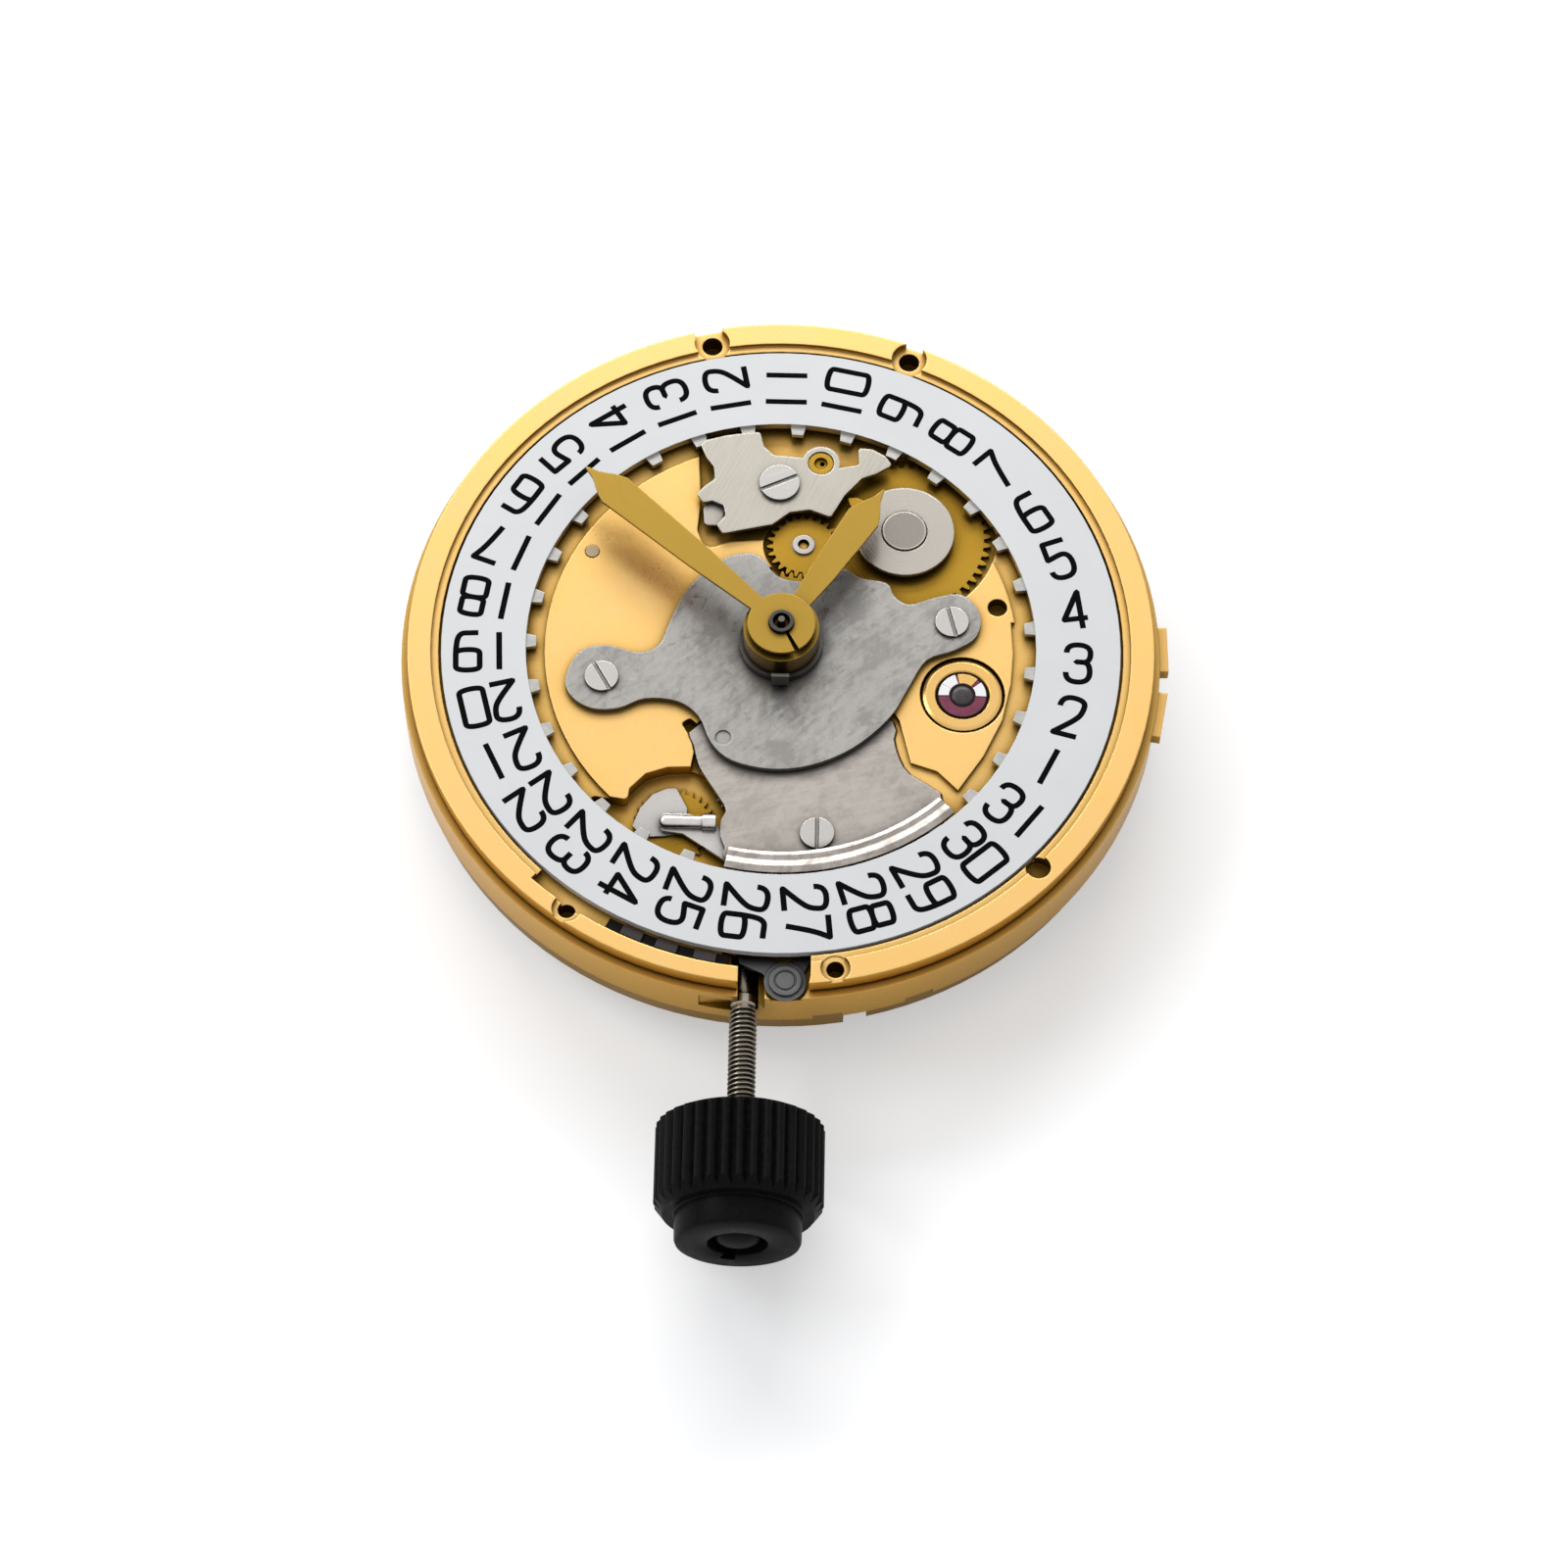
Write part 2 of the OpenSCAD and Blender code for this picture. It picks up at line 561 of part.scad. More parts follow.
// Stem hole, slots of the pinions, pockets of the levers and the crown wheel
module plate_keyless_cuts() {
    // Seat of the keyless cover, and the levers' pocket under it
    slab(over, z_cover - cover_t) intersection() {
        offset_cover();
        circle(r = ledge_r + 0.03);
    }
    slab(z_island + over, z_lever_floor) intersection() {
        polygon(rounded([[-2.2, -5.9], [-2, -9.6], [-0.2, -9.8], [0.3, -11.5], [1.2, -11.6],
            [2.3, -11.2], [2.2, -8.6], [1.95, -7.9], [0.7, -7.9], [0.1, -6.3]], 0.2));
        circle(r = fit_r - 0.45);
    }
    slab(z_lever + 0.25, z_lever_floor) intersection() {
        polygon([[-1.75, -11], [-1.75, -12.7], [0, -13], [1.3, -12.9], [1.3, -12.1], [2.1, -9.8],
            [0.2, -9.7], [0.1, -11.1]]);
        circle(r = fit_r - 0.2);
    }
    slab(z_island + over, z_corrector_floor) polygon(rounded(CORRECTOR_POCKET, 0.15));
    // Pinion slots
    translate([stem_x - wind_r - 0.08, y_wind_out - 0.05, z_seat - over])
        cube([2 * wind_r + 0.16, y_wind_in - y_wind_out + 0.07, -z_seat]);
    translate([stem_x - slide_r - 0.06, y_wind_in - 0.1, z_seat - over])
        cube([2 * slide_r + 0.12, y_pivot_hole - y_wind_in + 0.1, -z_seat]);
    // Stem bearing, open slot over it and inner pivot hole
    on_stem() {
        translate([0, 0, -flange_r - 0.7])
            cylinder(r = stem_r + run, h = flange_r + 0.7 + y_wind_out + 0.2);
        translate([0, 0, y_pivot_hole - 0.1])
            cylinder(r = pivot_r + run, h = y_pivot_end - y_pivot_hole + 0.5);
    }
    translate([stem_x - 0.2, -flange_r - 0.55, z_stem]) cube([0.9, 2.2, -z_stem + over]);
    translate([stem_x - 1.5, -flange_r - 0.55, z_stem - 0.4]) cube([1.2, 0.85, 0.8]);
    // Way of the setting lever's finger
    translate([stem_x - 0.42, y_groove - 0.82, z_stem + 0.1]) cube([0.6, 1, 0.6]);
    // Release button
    at(P_BUTTON) {
        disc(button_head_r + 0.07, over, z_lever_floor);
        disc(button_r + run, 0, z_lever_floor - 0.5);
    }
    slab(over, z_fit) polygon(concat(arc(P_BUTTON, button_head_r + 0.13, 180, 360, 10),
        [for (s = [1, -1]) P_BUTTON + [s * (button_head_r + 0.13), 1.2]]));
    // Crown wheel
    at(P_CROWN) disc(crown_low_r + 0.3, z_crown_low + 0.04, z_seat - over);
}
module offset_cover() {
    polygon([for (p = smooth_closed(COVER, 2)) p + 0.07 * unit(p - [0.8, -5.2])]);
}
// Solid part of the plate that carries the stem
module stem_block() {
    slab(z_web + over, z_seat) intersection() {
        circle(r = wall_in_r + over);
        polygon([[-4.2, -flange_r], [-4.2, -6.4], [-2.6, -4.75], [1.1, -4.75], [2.4, -6.4],
            [2.4, -flange_r]]);
    }
}
module plate_pillars() {
    for (p = BRIDGE_SCREWS) at(p) disc(0.95, z_web + over, z_seat);
}
// Screws of the barrel bridge, the train bridge and the balance cock
BARREL_SCREWS = [[-10.35, -3.6], [-5.6, 9.6], [-5.2, -9.4]];
TRAIN_SCREWS = [[1.4, 10.4], [8.6, 6.2]];
COCK_SCREWS = [[3.1, -9.9], [8.6, -7.6]];
BRIDGE_SCREWS = concat(BARREL_SCREWS, TRAIN_SCREWS, COCK_SCREWS);
module plate_holes() {
    disc(centre_arbor_r + 2 * run, 0, z_seat);
    for (p = [P_SCREW_L, P_SCREW_R, P_SCREW_KEY, P_SCREW_CAL]) at(p) disc(tapped_r, 0, z_web - over);
    at(P_PIN) disc(shank_r, 0, z_island - 0.3);
    at(P_HOLE) disc(0.34, 0, z_island - 0.5);
    at(P_ECC) disc(0.5, 0, z_step - 0.5);
    at(P_JUMPER) disc(post_r, 0, z_step - 0.4);
    at(P_YOKE) disc(yoke_post_r + run, 0, z_corrector_floor - 0.3);
    // Shock setting, train jewels and barrel arbor
    at(P_BALANCE) {
        disc(shock_r + 0.1, 0, z_web + 0.2);
        disc(0.6, 0, z_web - over);
    }
    for (p = [P_THIRD, P_ESCAPE, P_PALLET]) at(p) disc(jewel_r, z_web + 0.25, z_web - over);
    at(P_BARREL) disc(arbor_end_r + run, z_recess + 0.4, z_recess - over);
    for (p = BRIDGE_SCREWS) at(p) disc(bridge_tapped_r, z_web - 0.1, z_seat - over);
}

module maintaining_plate() {
    color("darkgray") difference() {
        slab(z_maintain, z_island) polygon(smooth_closed(MAINTAINING, 4));
        disc(0.9, 0, z_web);
        for (p = [P_SCREW_L, P_SCREW_R]) at(p) disc(tapped_r + 0.01, 0, z_web);
        at([-1.9, -3.6]) disc(0.28, 0, z_maintain - 0.06);
    }
}
module calendar_plate() {
    color("silver") difference() {
        slab(z_date + 0.06, z_date - 0.1) polygon(rounded(CALENDAR, 0.1));
        at(P_SCREW_CAL) disc(tapped_r + 0.01, 0, z_web);
        at(P_ECC) disc(0.5, 0, z_web);
    }
    color("silver") at(P_ECC) tube(0.66, 0.46, z_date + 0.06, z_date - 0.1);
}
module keyless_cover() {
    color("lightsteelblue") difference() {
        union() {
            slab(z_cover, z_cover - cover_t) polygon(smooth_closed(COVER, 2));
            cover_flange();
        }
        at(P_SCREW_KEY) disc(tapped_r + 0.01, 0, z_web);
        disc(hour_n * hour_m / 2 + 0.3, 0, z_web);
    }
}
// Double ridge of the cover that holds the date ring's teeth down
module cover_flange() {
    intersection() {
        rotate_extrude() polygon([[7.77, z_cover - cover_t], [7.77, z_cover - 0.02],
            [7.9, z_date_tooth + 0.12], [8.05, z_date_tooth + 0.17], [8.22, z_date_tooth + 0.11],
            [8.45, z_date_tooth + 0.15], [8.66, z_date_tooth + 0.09], [8.68, z_date_tooth + 0.03],
            [8.2, z_date_tooth + 0.02], [7.95, z_cover - cover_t]]);
        slab(1, -1) wedge_2d(10, 258.3, 313.5);
    }
}
module date_ring() {
    color("white") union() {
        tube(date_ro, date_ri, z_date, z_date_low);
        for (i = [0:days - 1]) rotate((i + 0.5) * 360 / days)
            slab(z_date_tooth, z_date_low)
                polygon([[date_ri + 0.02, -0.27], [date_ri - date_tooth, -0.2],
                    [date_ri - date_tooth, 0.2], [date_ri + 0.02, 0.27]]);
    }
}
module date_jumper() {
    color("silver") at(P_JUMPER) {
        slab(z_date_tooth - 0.03, z_date_tooth - 0.15) polygon(rounded([[-0.3, -0.3], [0.3, -0.3],
            [0.42, 0.5], [0.55, 2.4], [0.95, 3.05], [0.5, 3.2], [0.1, 2.5], [-0.12, 1], [-0.35, 0.3]],
            0.12));
        disc(0.12, z_date_tooth - 0.14, z_step - 0.35);
    }
}
module jumper_eccentric() {
    color("gold") at(P_ECC) difference() {
        union() {
            disc(0.43, z_date + 0.02, z_step - 0.1);
            disc(0.48, z_step - 0.1, z_step - 0.45);
        }
        disc(0.24, z_date + over, z_date - 0.1);
        translate([0.05, 0.04, 0]) disc(0.09, z_date, z_step - 0.3);
    }
}
module intermediate_date_wheel() {
    color("gold") at(P_INTER) difference() {
        union() {
            toothed(inter_n, hour_m, z_hour + 0.02, z_hour - dial_wheel_t - 0.01, inter_turn);
            disc(0.45, z_hour, z_hour_low - 0.01);
            toothed(inter_pinion_n, drive_m, z_hour_low + 0.01, z_hour_low - dial_wheel_t, inter_turn);
        }
        disc(post_r + run, 0, z_web);
    }
    color("silver") at(P_INTER) tube(0.38, post_r + run, z_hour + 0.1, z_hour + 0.02);
}
module date_driving_wheel() {
    color("gold") at(P_DRIVE) difference() {
        toothed(date_wheel_n, drive_m, z_hour_low, z_hour_low - dial_wheel_t, drive_turn);
        disc(wide_post_r + run, 0, z_web);
    }
    // Finger that moves the date ring on once a day
    color("gold") at(P_DRIVE) rotate(147) {
        slab(z_date_tooth - 0.02, z_date_low) polygon(rounded([[1.3, -0.3], [2.1, -0.2],
            [2.38, 0], [2.1, 0.2], [1.3, 0.3]], 0.05));
        slab(z_date_low + 0.02, z_hour_low - 0.02)
            polygon([[1.3, -0.3], [1.66, -0.3], [1.66, 0.3], [1.3, 0.3]]);
    }
}
module date_wheel_cap() {
    color("silver") at(P_DRIVE) difference() {
        union() {
            tube(1.73, 0.8, z_date_tooth + 0.02, z_date_low + 0.03);
            tube(1.25, wide_post_r + run, z_date_low + 0.04, z_hour_low + 0.01);
            tube(0.82, wide_post_r + run, z_date_low + 0.04, z_date_low - 0.05);
            disc(0.76, z_date_tooth + 0.07, z_date_low);
        }
        disc(wide_post_r + run, z_island - 0.08, z_web);
        rotate(147) translate([1.26, -0.34, z_web]) cube([1.2, 0.68, 2]);
    }
}
module hour_wheel() {
    color("gold") difference() {
        union() {
            toothed(hour_n, hour_m, z_hour, z_hour - dial_wheel_t, 0);
            disc(1.5, z_hour - dial_wheel_t + 0.01, z_hour_low - 0.01);
            toothed(hour_low_n, hour_low_m, z_hour_low, z_hour_low - dial_wheel_t, hour_low_turn);
            disc(hour_pipe_r, hour_hand_z - 0.35, z_hour_low);
        }
        disc(cannon_r + run, hour_hand_z + 1, z_web);
    }
}
module cannon_pinion() {
    color("dimgray") difference() {
        union() {
            toothed(cannon_n, cannon_m, z_minute + 0.01, z_minute - dial_wheel_t, 0);
            disc(cannon_r, minute_hand_z + 0.28, z_minute);
        }
        disc(centre_arbor_r + run, 3, z_web);
    }
}
module minute_wheel() {
    color("gold") at(P_MINUTE) difference() {
        union() {
            toothed(minute_n, cannon_m, z_minute, z_minute - dial_wheel_t, minute_turn);
            toothed(minute_pinion_n, hour_low_m, z_hour_low + 0.01, z_minute - 0.01, minute_turn);
        }
        disc(post_r + run, 0, z_web);
        crossings(0.75, 1.45, 4, 0.3, z_minute, z_minute - dial_wheel_t);
    }
}
// Leaf of a hand along +X: narrow at the hub, widest near the tip
function leaf(length, root, root_w, wide, wide_w) =
    [[root, -root_w], [0.5 * wide, -0.5 * (root_w + wide_w) - 0.02], [wide - 0.6, -wide_w + 0.03],
    [wide, -wide_w], [wide + 0.3 * (length - wide), -0.72 * wide_w],
    [wide + 0.65 * (length - wide), -0.26 * wide_w], [length, -0.02],
    [length, 0.02], [wide + 0.65 * (length - wide), 0.26 * wide_w],
    [wide + 0.3 * (length - wide), 0.72 * wide_w], [wide, wide_w], [wide - 0.6, wide_w - 0.03],
    [0.5 * wide, 0.5 * (root_w + wide_w) + 0.02], [root, root_w]];
module hour_hand() {
    color("darkgoldenrod") difference() {
        union() {
            disc(1.3, hour_hand_z + hand_t, 0.26);
            slab(hour_hand_z + hand_t, hour_hand_z) rotate(58)
                polygon(leaf(hour_hand_l, 0.9, 0.3, 0.8 * hour_hand_l, 0.6));
        }
        disc(hour_pipe_r + seat, hour_hand_z - 0.33, 0.2);
        disc(cannon_r + run + 0.02, 3, 0.2);
    }
}
module minute_hand() {
    color("darkgoldenrod") difference() {
        union() {
            disc(1.16, minute_hand_z + hand_t, minute_hand_z);
            slab(minute_hand_z + hand_t, minute_hand_z) rotate(139)
                polygon(leaf(minute_hand_l, 0.9, 0.27, 0.85 * minute_hand_l, 0.64));
            disc(0.62, minute_hand_z + 0.01, hour_hand_z + hand_t + 0.05);
        }
        disc(cannon_r + seat, 3, 0);
        slab(3, 0) rotate(-62) polygon([[0.3, -0.05], [1.3, -0.09], [1.3, 0.09], [0.3, 0.05]]);
    }
}
module dial_washer() {
    color("dimgray") {
        tube(1.43, hour_pipe_r + run, 0.2, z_maintain + 0.035);
        translate([-0.3, -1.68, 0.1]) cube([0.6, 0.12, 0.62]);
        translate([-0.3, -1.62, 0.1]) cube([0.6, 0.3, 0.08]);
    }
}
module setting_wheel() {
    color("silver") at(P_SETTING) difference() {
        toothed(setting_n, cannon_m, z_minute, z_minute - dial_wheel_t, setting_turn);
        disc(wide_post_r + run, 0, z_web);
    }
}
module setting_lever() {
    color("silver") {
        at(P_BUTTON) difference() {
            slab(z_lever, z_lever - lever_t) polygon(rounded([[-0.42, -0.3], [0.3, -0.42],
                [0.5, 0.1], [1.42, 1.95], [1.35, 2.25], [1.02, 2.2], [0.1, 0.55], [-0.5, 0.85],
                [-1.3, 1.08], [-1.6, 0.95], [-1.55, 0.65], [-0.75, 0.3]], 0.12));
            disc(button_r + run, 0, z_web);
        }
        // Finger in the groove of the stem
        at([stem_x, y_groove]) disc(0.14, z_lever - 0.02, z_stem + groove_r + play);
    }
}
module yoke() {
    color("silver") {
        at(P_YOKE) {
            slab(z_lever, z_lever - lever_t) polygon(rounded([[-0.45, -0.35], [0.3, -0.45],
                [1.7, -1.4], [2.35, -1.72], [2.7, -1.55], [2.65, -1.2], [1.9, -0.75], [1.3, 0.1],
                [0.4, 0.32], [-0.45, 0.32]], 0.12));
            disc(yoke_post_r, z_lever, z_corrector_floor - 0.25);
            translate([-0.3, -0.05, z_lever + 0.08]) rotate([0, 90, 0]) {
                cylinder(r = 0.24, h = 1.35);
                sphere(r = 0.24);
                translate([0, 0, 1.25]) cylinder(r = 0.3, h = 0.45);
            }
        }
        at([stem_x, slide_groove_y]) disc(0.11, z_lever - 0.02, z_stem + slide_groove_r + 0.05);
    }
}
module corrector_wheel() {
    color("gold") at(P_YOKE) difference() {
        toothed(28, 0.094, z_corrector_floor + 0.1, z_corrector_floor + 0.02);
        disc(yoke_post_r + run, 0, z_web);
    }
}
module corrector_rocker() {
    color("darkgray") difference() {
        slab(z_lever - lever_t - 0.015, z_corrector_floor + 0.115)
            polygon(rounded([[-4.65, -6.01], [-4.25, -5.5], [-3.78, -5.27], [-3.45, -5.24],
                [-3.06, -6.0], [-3.1, -6.9], [-3.8, -7.05], [-4.5, -7.1], [-4.9, -6.7]], 0.06));
        at(P_YOKE) disc(yoke_post_r + run, 0, z_web);
    }
}
module release_button() {
    color("dimgray") at(P_BUTTON) {
        difference() {
            union() {
                disc(button_head_r, z_lever + 0.05, z_lever + 0.02);
                disc(button_head_r - 0.17, z_lever + 0.14, z_lever + 0.04);
            }
            tube(0.38, 0.3, z_lever + 0.2, z_lever + 0.1);
        }
        disc(button_r, z_lever + 0.1, z_lever_floor - 0.45);
    }
}
module sliding_pinion() {
    color("silver") on_stem() {
        difference() {
            translate([0, 0, y_slide_out]) cylinder(r = slide_r, h = y_slide_in - y_slide_out);
            // Groove of the yoke
            translate([0, 0, slide_groove_y - slide_groove_w / 2]) difference() {
                cylinder(r = 1, h = slide_groove_w);
                translate([0, 0, -over]) cylinder(r = slide_groove_r, h = slide_groove_w + 2 * over);
            }
            // Square hole on the stem
            translate([-square_w / 2 - 0.02, -square_w / 2 - 0.02, y_slide_out - over])
                cube([square_w + 0.04, square_w + 0.04, 4]);
            // Face teeth for the setting wheel
            for (i = [0:5]) rotate(i * 30) translate([-1, -0.08, y_slide_in - 0.22]) cube([2, 0.16, 1]);
            face_ratchet(y_slide_out, 0.15, 1);
        }
    }
}
// Saw teeth of the winding clutch, cut into a face at height y
module face_ratchet(y, depth, way) {
    for (i = [0:5]) rotate(i * 60) translate([0, 0, y])
        rotate([90, 0, 0]) rotate([0, 90, 0]) linear_extrude(height = 1.2)
            polygon([[0, -over], [0.001, depth * way], [0.3, -0.001], [0.3, -over]]);
}
module winding_pinion() {
    color("silver") on_stem() difference() {
        union() {
            translate([0, 0, y_wind_out]) linear_extrude(height = wind_teeth_w)
                polygon(plain_teeth(wind_n, 2 * wind_r / (wind_n + 1.7)));
            translate([0, 0, y_wind_out]) cylinder(r = slide_r, h = y_wind_in - y_wind_out);
        }
        translate([0, 0, y_wind_out - over]) cylinder(r = wind_bore, h = 3);
    }
}
module stem() {
    color("gray") on_stem() {
        translate([0, 0, -crown_y - crown_bore_l])
            cylinder(r = stem_r, h = crown_y + crown_bore_l + y_groove - groove_w / 2);
        translate([0, 0, y_groove - groove_w / 2 - over])
            cylinder(r = groove_r, h = groove_w + 2 * over);
        translate([0, 0, y_groove + groove_w / 2])
            cylinder(r = stem_r, h = y_wind_out - 0.05 - y_groove - groove_w / 2);
        translate([0, 0, y_wind_out - 0.1]) cylinder(r = wind_bore - run, h = 1.1);
        translate([-square_w / 2, -square_w / 2, y_wind_in - 0.1])
            cube([square_w, square_w, y_slide_in - y_wind_in + 0.1]);
        translate([0, 0, y_slide_in - 0.1]) cylinder(r = pivot_r, h = y_pivot_end - y_slide_in + 0.1);
    }
}
module crown() {
    boss_l = 1;
    color("dimgray") translate([stem_x, -crown_y, z_stem]) rotate([90, 0, 0]) difference() {
        union() {
            linear_extrude(height = crown_l - crown_bevel) crown_outline(crown_r);
            intersection() {
                linear_extrude(height = crown_l) crown_outline(crown_r);
                cylinder(r1 = crown_r + crown_l - crown_bevel, r2 = crown_r - crown_bevel, h = crown_l);
            }
            cylinder(r = 2.08, h = crown_l + boss_l);
        }
        translate([0, 0, crown_l + boss_l - 0.35]) difference() {
            cylinder(r = 0.95, h = 1);
            translate([0, 0, -over]) cylinder(r = 0.66, h = 2);
        }
        translate([0, 0, crown_l + boss_l - 0.15]) cylinder(r = 0.8, h = 1);
        translate([-0.17, -1.25, crown_l + boss_l - 0.3]) cube([0.34, 0.5, 1]);
        translate([0, 0, -over]) cylinder(r = stem_r + seat, h = crown_bore_l + seat + over);
    }
}
module crown_outline(r) {
    difference() {
        circle(r = r);
        for (i = [0:crown_flutes - 1]) rotate(i * 360 / crown_flutes) translate([r + 0.02, 0])
            polygon([[-0.22, 0], [0, -0.15], [0.2, -0.15], [0.2, 0.15], [0, 0.15]]);
    }
}
// Shock settings of the balance: brass block, spring and jewels on each side
module shock_block() {
    rotate_extrude() polygon([[0.55, z_web + 0.22], [1.12, z_web + 0.22], [1.12, z_island - 0.12],
        [shock_r, z_island - 0.12], [shock_r, z_island - 0.06], [1.25, z_island], [0.95, z_island],
        [0.86, z_island - 0.1], [0.86, z_island - 0.5], [0.55, z_island - 0.5]]);
}
module shock_blocks() {
    color("gold") at(P_BALANCE) {
        shock_block();
        difference() {
            union() {
                disc(0.88, z_cock - 0.02, z_cock - cock_t - 0.08);
                disc(1.02, z_cock - cock_t - 0.02, z_cock - cock_t - 0.08);
            }
            disc(0.16, 0, z_cock - 0.16);
            disc(0.6, z_cock - 0.15, -4);
        }
    }
}
module shock_spring() {
    color("silver") at(P_BALANCE) difference() {
        slab(z_island - 0.1, z_island - 0.16) difference() {
            circle(r = 0.84);
            circle(r = 0.64);
            for (a = [90, 210, 330]) rotate(a) translate([0.6, -0.05]) square([0.15, 0.1]);
        }
    }
    color("silver") at(P_BALANCE) slab(z_island - 0.1, z_island - 0.16)
        for (a = [30, 150, 270]) rotate(a) polygon(rounded([[0.66, -0.16], [0.66, 0.16],
            [0.42, 0.1], [0.42, -0.1]], 0.03));
}
module cap_jewels() {
    color("crimson") at(P_BALANCE) {
        disc(0.6, z_island - 0.2, z_island - 0.38);
        difference() {
            disc(0.5, z_web + 0.14, z_web - 0.02);
            disc(pivot_bore + 0.01, 0, z_seat);
        }
        disc(0.56, z_cock - 0.2, z_cock - cock_t - 0.02);
    }
}
// Pierced jewels of the train, pressed into the plate and the bridges
module train_jewels() {
    color("crimson") {
        for (p = [P_THIRD, P_ESCAPE, P_PALLET]) at(p)
            tube(jewel_r - seat, pivot_bore, z_web + 0.24, z_web + 0.04);
        for (p = [P_THIRD, P_ESCAPE]) at(p)
            tube(jewel_r - seat, pivot_bore, z_seat - 0.08, z_seat - 0.3);
        tube(centre_jewel_r - seat, 0.15, z_seat - 0.08, z_seat - 0.3);
        at(P_PALLET) tube(0.3 - seat, pivot_bore, z_web - 0.5, z_web - 0.62);
    }
}
module dial_side_screws() {
    color("silver") {
        at(P_SCREW_L) screw(head_r, 0.12, shank_r, 0.8, z_maintain, 1, 120);
        at(P_SCREW_R) screw(head_r, 0.12, shank_r, 0.8, z_maintain, 1, 105);
        at(P_SCREW_CAL) screw(head_r + 0.125, 0.14, shank_r, 0.9, z_date + 0.06, 1, 25);
        at(P_SCREW_KEY) screw(head_r, 0.14, shank_r, 0.6, z_cover, 1, 90);
    }
}
module steady_pins() {
    color("silver") at(P_PIN) disc(shank_r - seat, z_island + 0.03, z_island - 0.28);
}

// Barrel and train
module barrel_drum() {
    color("gold") at(P_BARREL) difference() {
        union() {
            disc(barrel_r, z_barrel, z_barrel_low);
            toothed_plain(barrel_n, barrel_m, z_tooth_ring, z_barrel_low, 0);
        }
        disc(barrel_r - 0.25, 0, z_barrel_low + 0.1);
        disc(barrel_r - 0.17, 0, z_barrel - 0.1);
        disc(arbor_r + run, 0, z_seat);
    }
}
module barrel_cover() {
    color("gold") at(P_BARREL) tube(barrel_r - 0.17 - seat, arbor_r + run, z_barrel, z_barrel - 0.09);
}
module barrel_arbor() {
    color("silver") at(P_BARREL) {
        disc(arbor_end_r, z_recess + 0.38, z_barrel);
        disc(arbor_r, z_barrel + 0.02, z_barrel_low - 0.02);
        disc(core_r, z_barrel - 0.13, z_barrel_low + 0.13);
        disc(arbor_r - 0.05, z_barrel_low, z_bridge);
        slab(z_bridge + 0.02, z_wind - winding_t + 0.02) square(arbor_square, center = true);
    }
}
// Coiled mainspring as one ribbon from the arbor to the wall
module mainspring() {
    spring_turns = 7;
    spring_t = 0.12;
    r0 = core_r + 0.02 + spring_t;
    r1 = barrel_r - 0.35;
    steps = 24 * spring_turns;
    echo(str("mainspring least gap ", (r1 - r0) / spring_turns - spring_t));
    color("steelblue") at(P_BARREL) slab(z_barrel - 0.15, z_barrel_low + 0.15)
        polygon(concat(
            [for (i = [0:steps]) polar(r0 + (r1 - r0) * i / steps, i * 15)],
            [for (i = [steps:-1:0]) polar(r0 + (r1 - r0) * i / steps - spring_t, i * 15)]));
}
module centre_wheel() {
    color("gold") difference() {
        union() {
            toothed_plain(centre_n, centre_m, z_centre, z_centre - wheel_t, centre_pinion_turn);
            toothed_plain(centre_pinion_n, barrel_m, z_tooth_ring, z_centre, centre_pinion_turn);
            disc(0.3, z_web, z_tooth_ring);
            disc(centre_arbor_r, minute_hand_z, z_web);
            disc(0.5, z_centre, z_centre - wheel_t - 0.02);
        }
        disc(0.15, 3, z_seat);
        crossings(0.9, 2.9, 5, 0.35, z_centre, z_centre - wheel_t);
    }
}
module third_wheel() {
    color("gold") at(P_THIRD) {
        difference() {
            toothed_plain(third_n, third_m, z_third, z_third - wheel_t, third_pinion_turn);
            crossings(0.7, 2.85, 5, 0.35, z_third, z_third - wheel_t);
        }
        toothed_plain(third_pinion_n, centre_m, z_centre + 0.02, z_third, third_pinion_turn);
        disc(0.14, z_web - play, z_seat + 0.04);
        disc(pivot_end_r, z_web + 0.2, z_web - 0.1);
        disc(pivot_end_r, z_seat + over, z_seat - 0.25);
    }
}
module fourth_wheel() {
    color("gold") {
        difference() {
            toothed_plain(fourth_n, fourth_m, z_fourth, z_fourth - wheel_t, fourth_pinion_turn);
            crossings(0.8, 2.95, 5, 0.35, z_fourth, z_fourth - wheel_t);
        }
        toothed_plain(fourth_pinion_n, third_m, z_third + 0.02, z_fourth, fourth_pinion_turn);
        disc(seconds_r, minute_hand_z + 0.4, z_third);
        disc(0.2, z_fourth, z_seat + 0.04);
        disc(seconds_r, z_seat + over, z_seat - 0.28);
    }
}
module escape_wheel() {
    p = 360 / escape_n;
    color("silver") at(P_ESCAPE) {
        difference() {
            slab(z_escape, z_escape - escape_t) polygon([for (i = [0:escape_n - 1]) each [
                polar(escape_r - 0.32, i * p), polar(escape_r - 0.1, (i + 0.28) * p),
                polar(escape_r, (i + 0.42) * p), polar(escape_r - 0.06, (i + 0.62) * p),
                polar(escape_r - 0.3, (i + 0.5) * p)]]);
            crossings(0.4, 1.05, 4, 0.18, z_escape, z_escape - escape_t);
        }
        disc(0.1, z_web - play, z_seat + 0.04);
        disc(pivot_end_r, z_web + 0.2, z_web - 0.1);
        disc(pivot_end_r, z_seat + over, z_seat - 0.25);
        toothed_plain(escape_pinion_n, fourth_m, z_fourth + 0.04, z_seat + 0.06, escape_pinion_turn);
    }
}
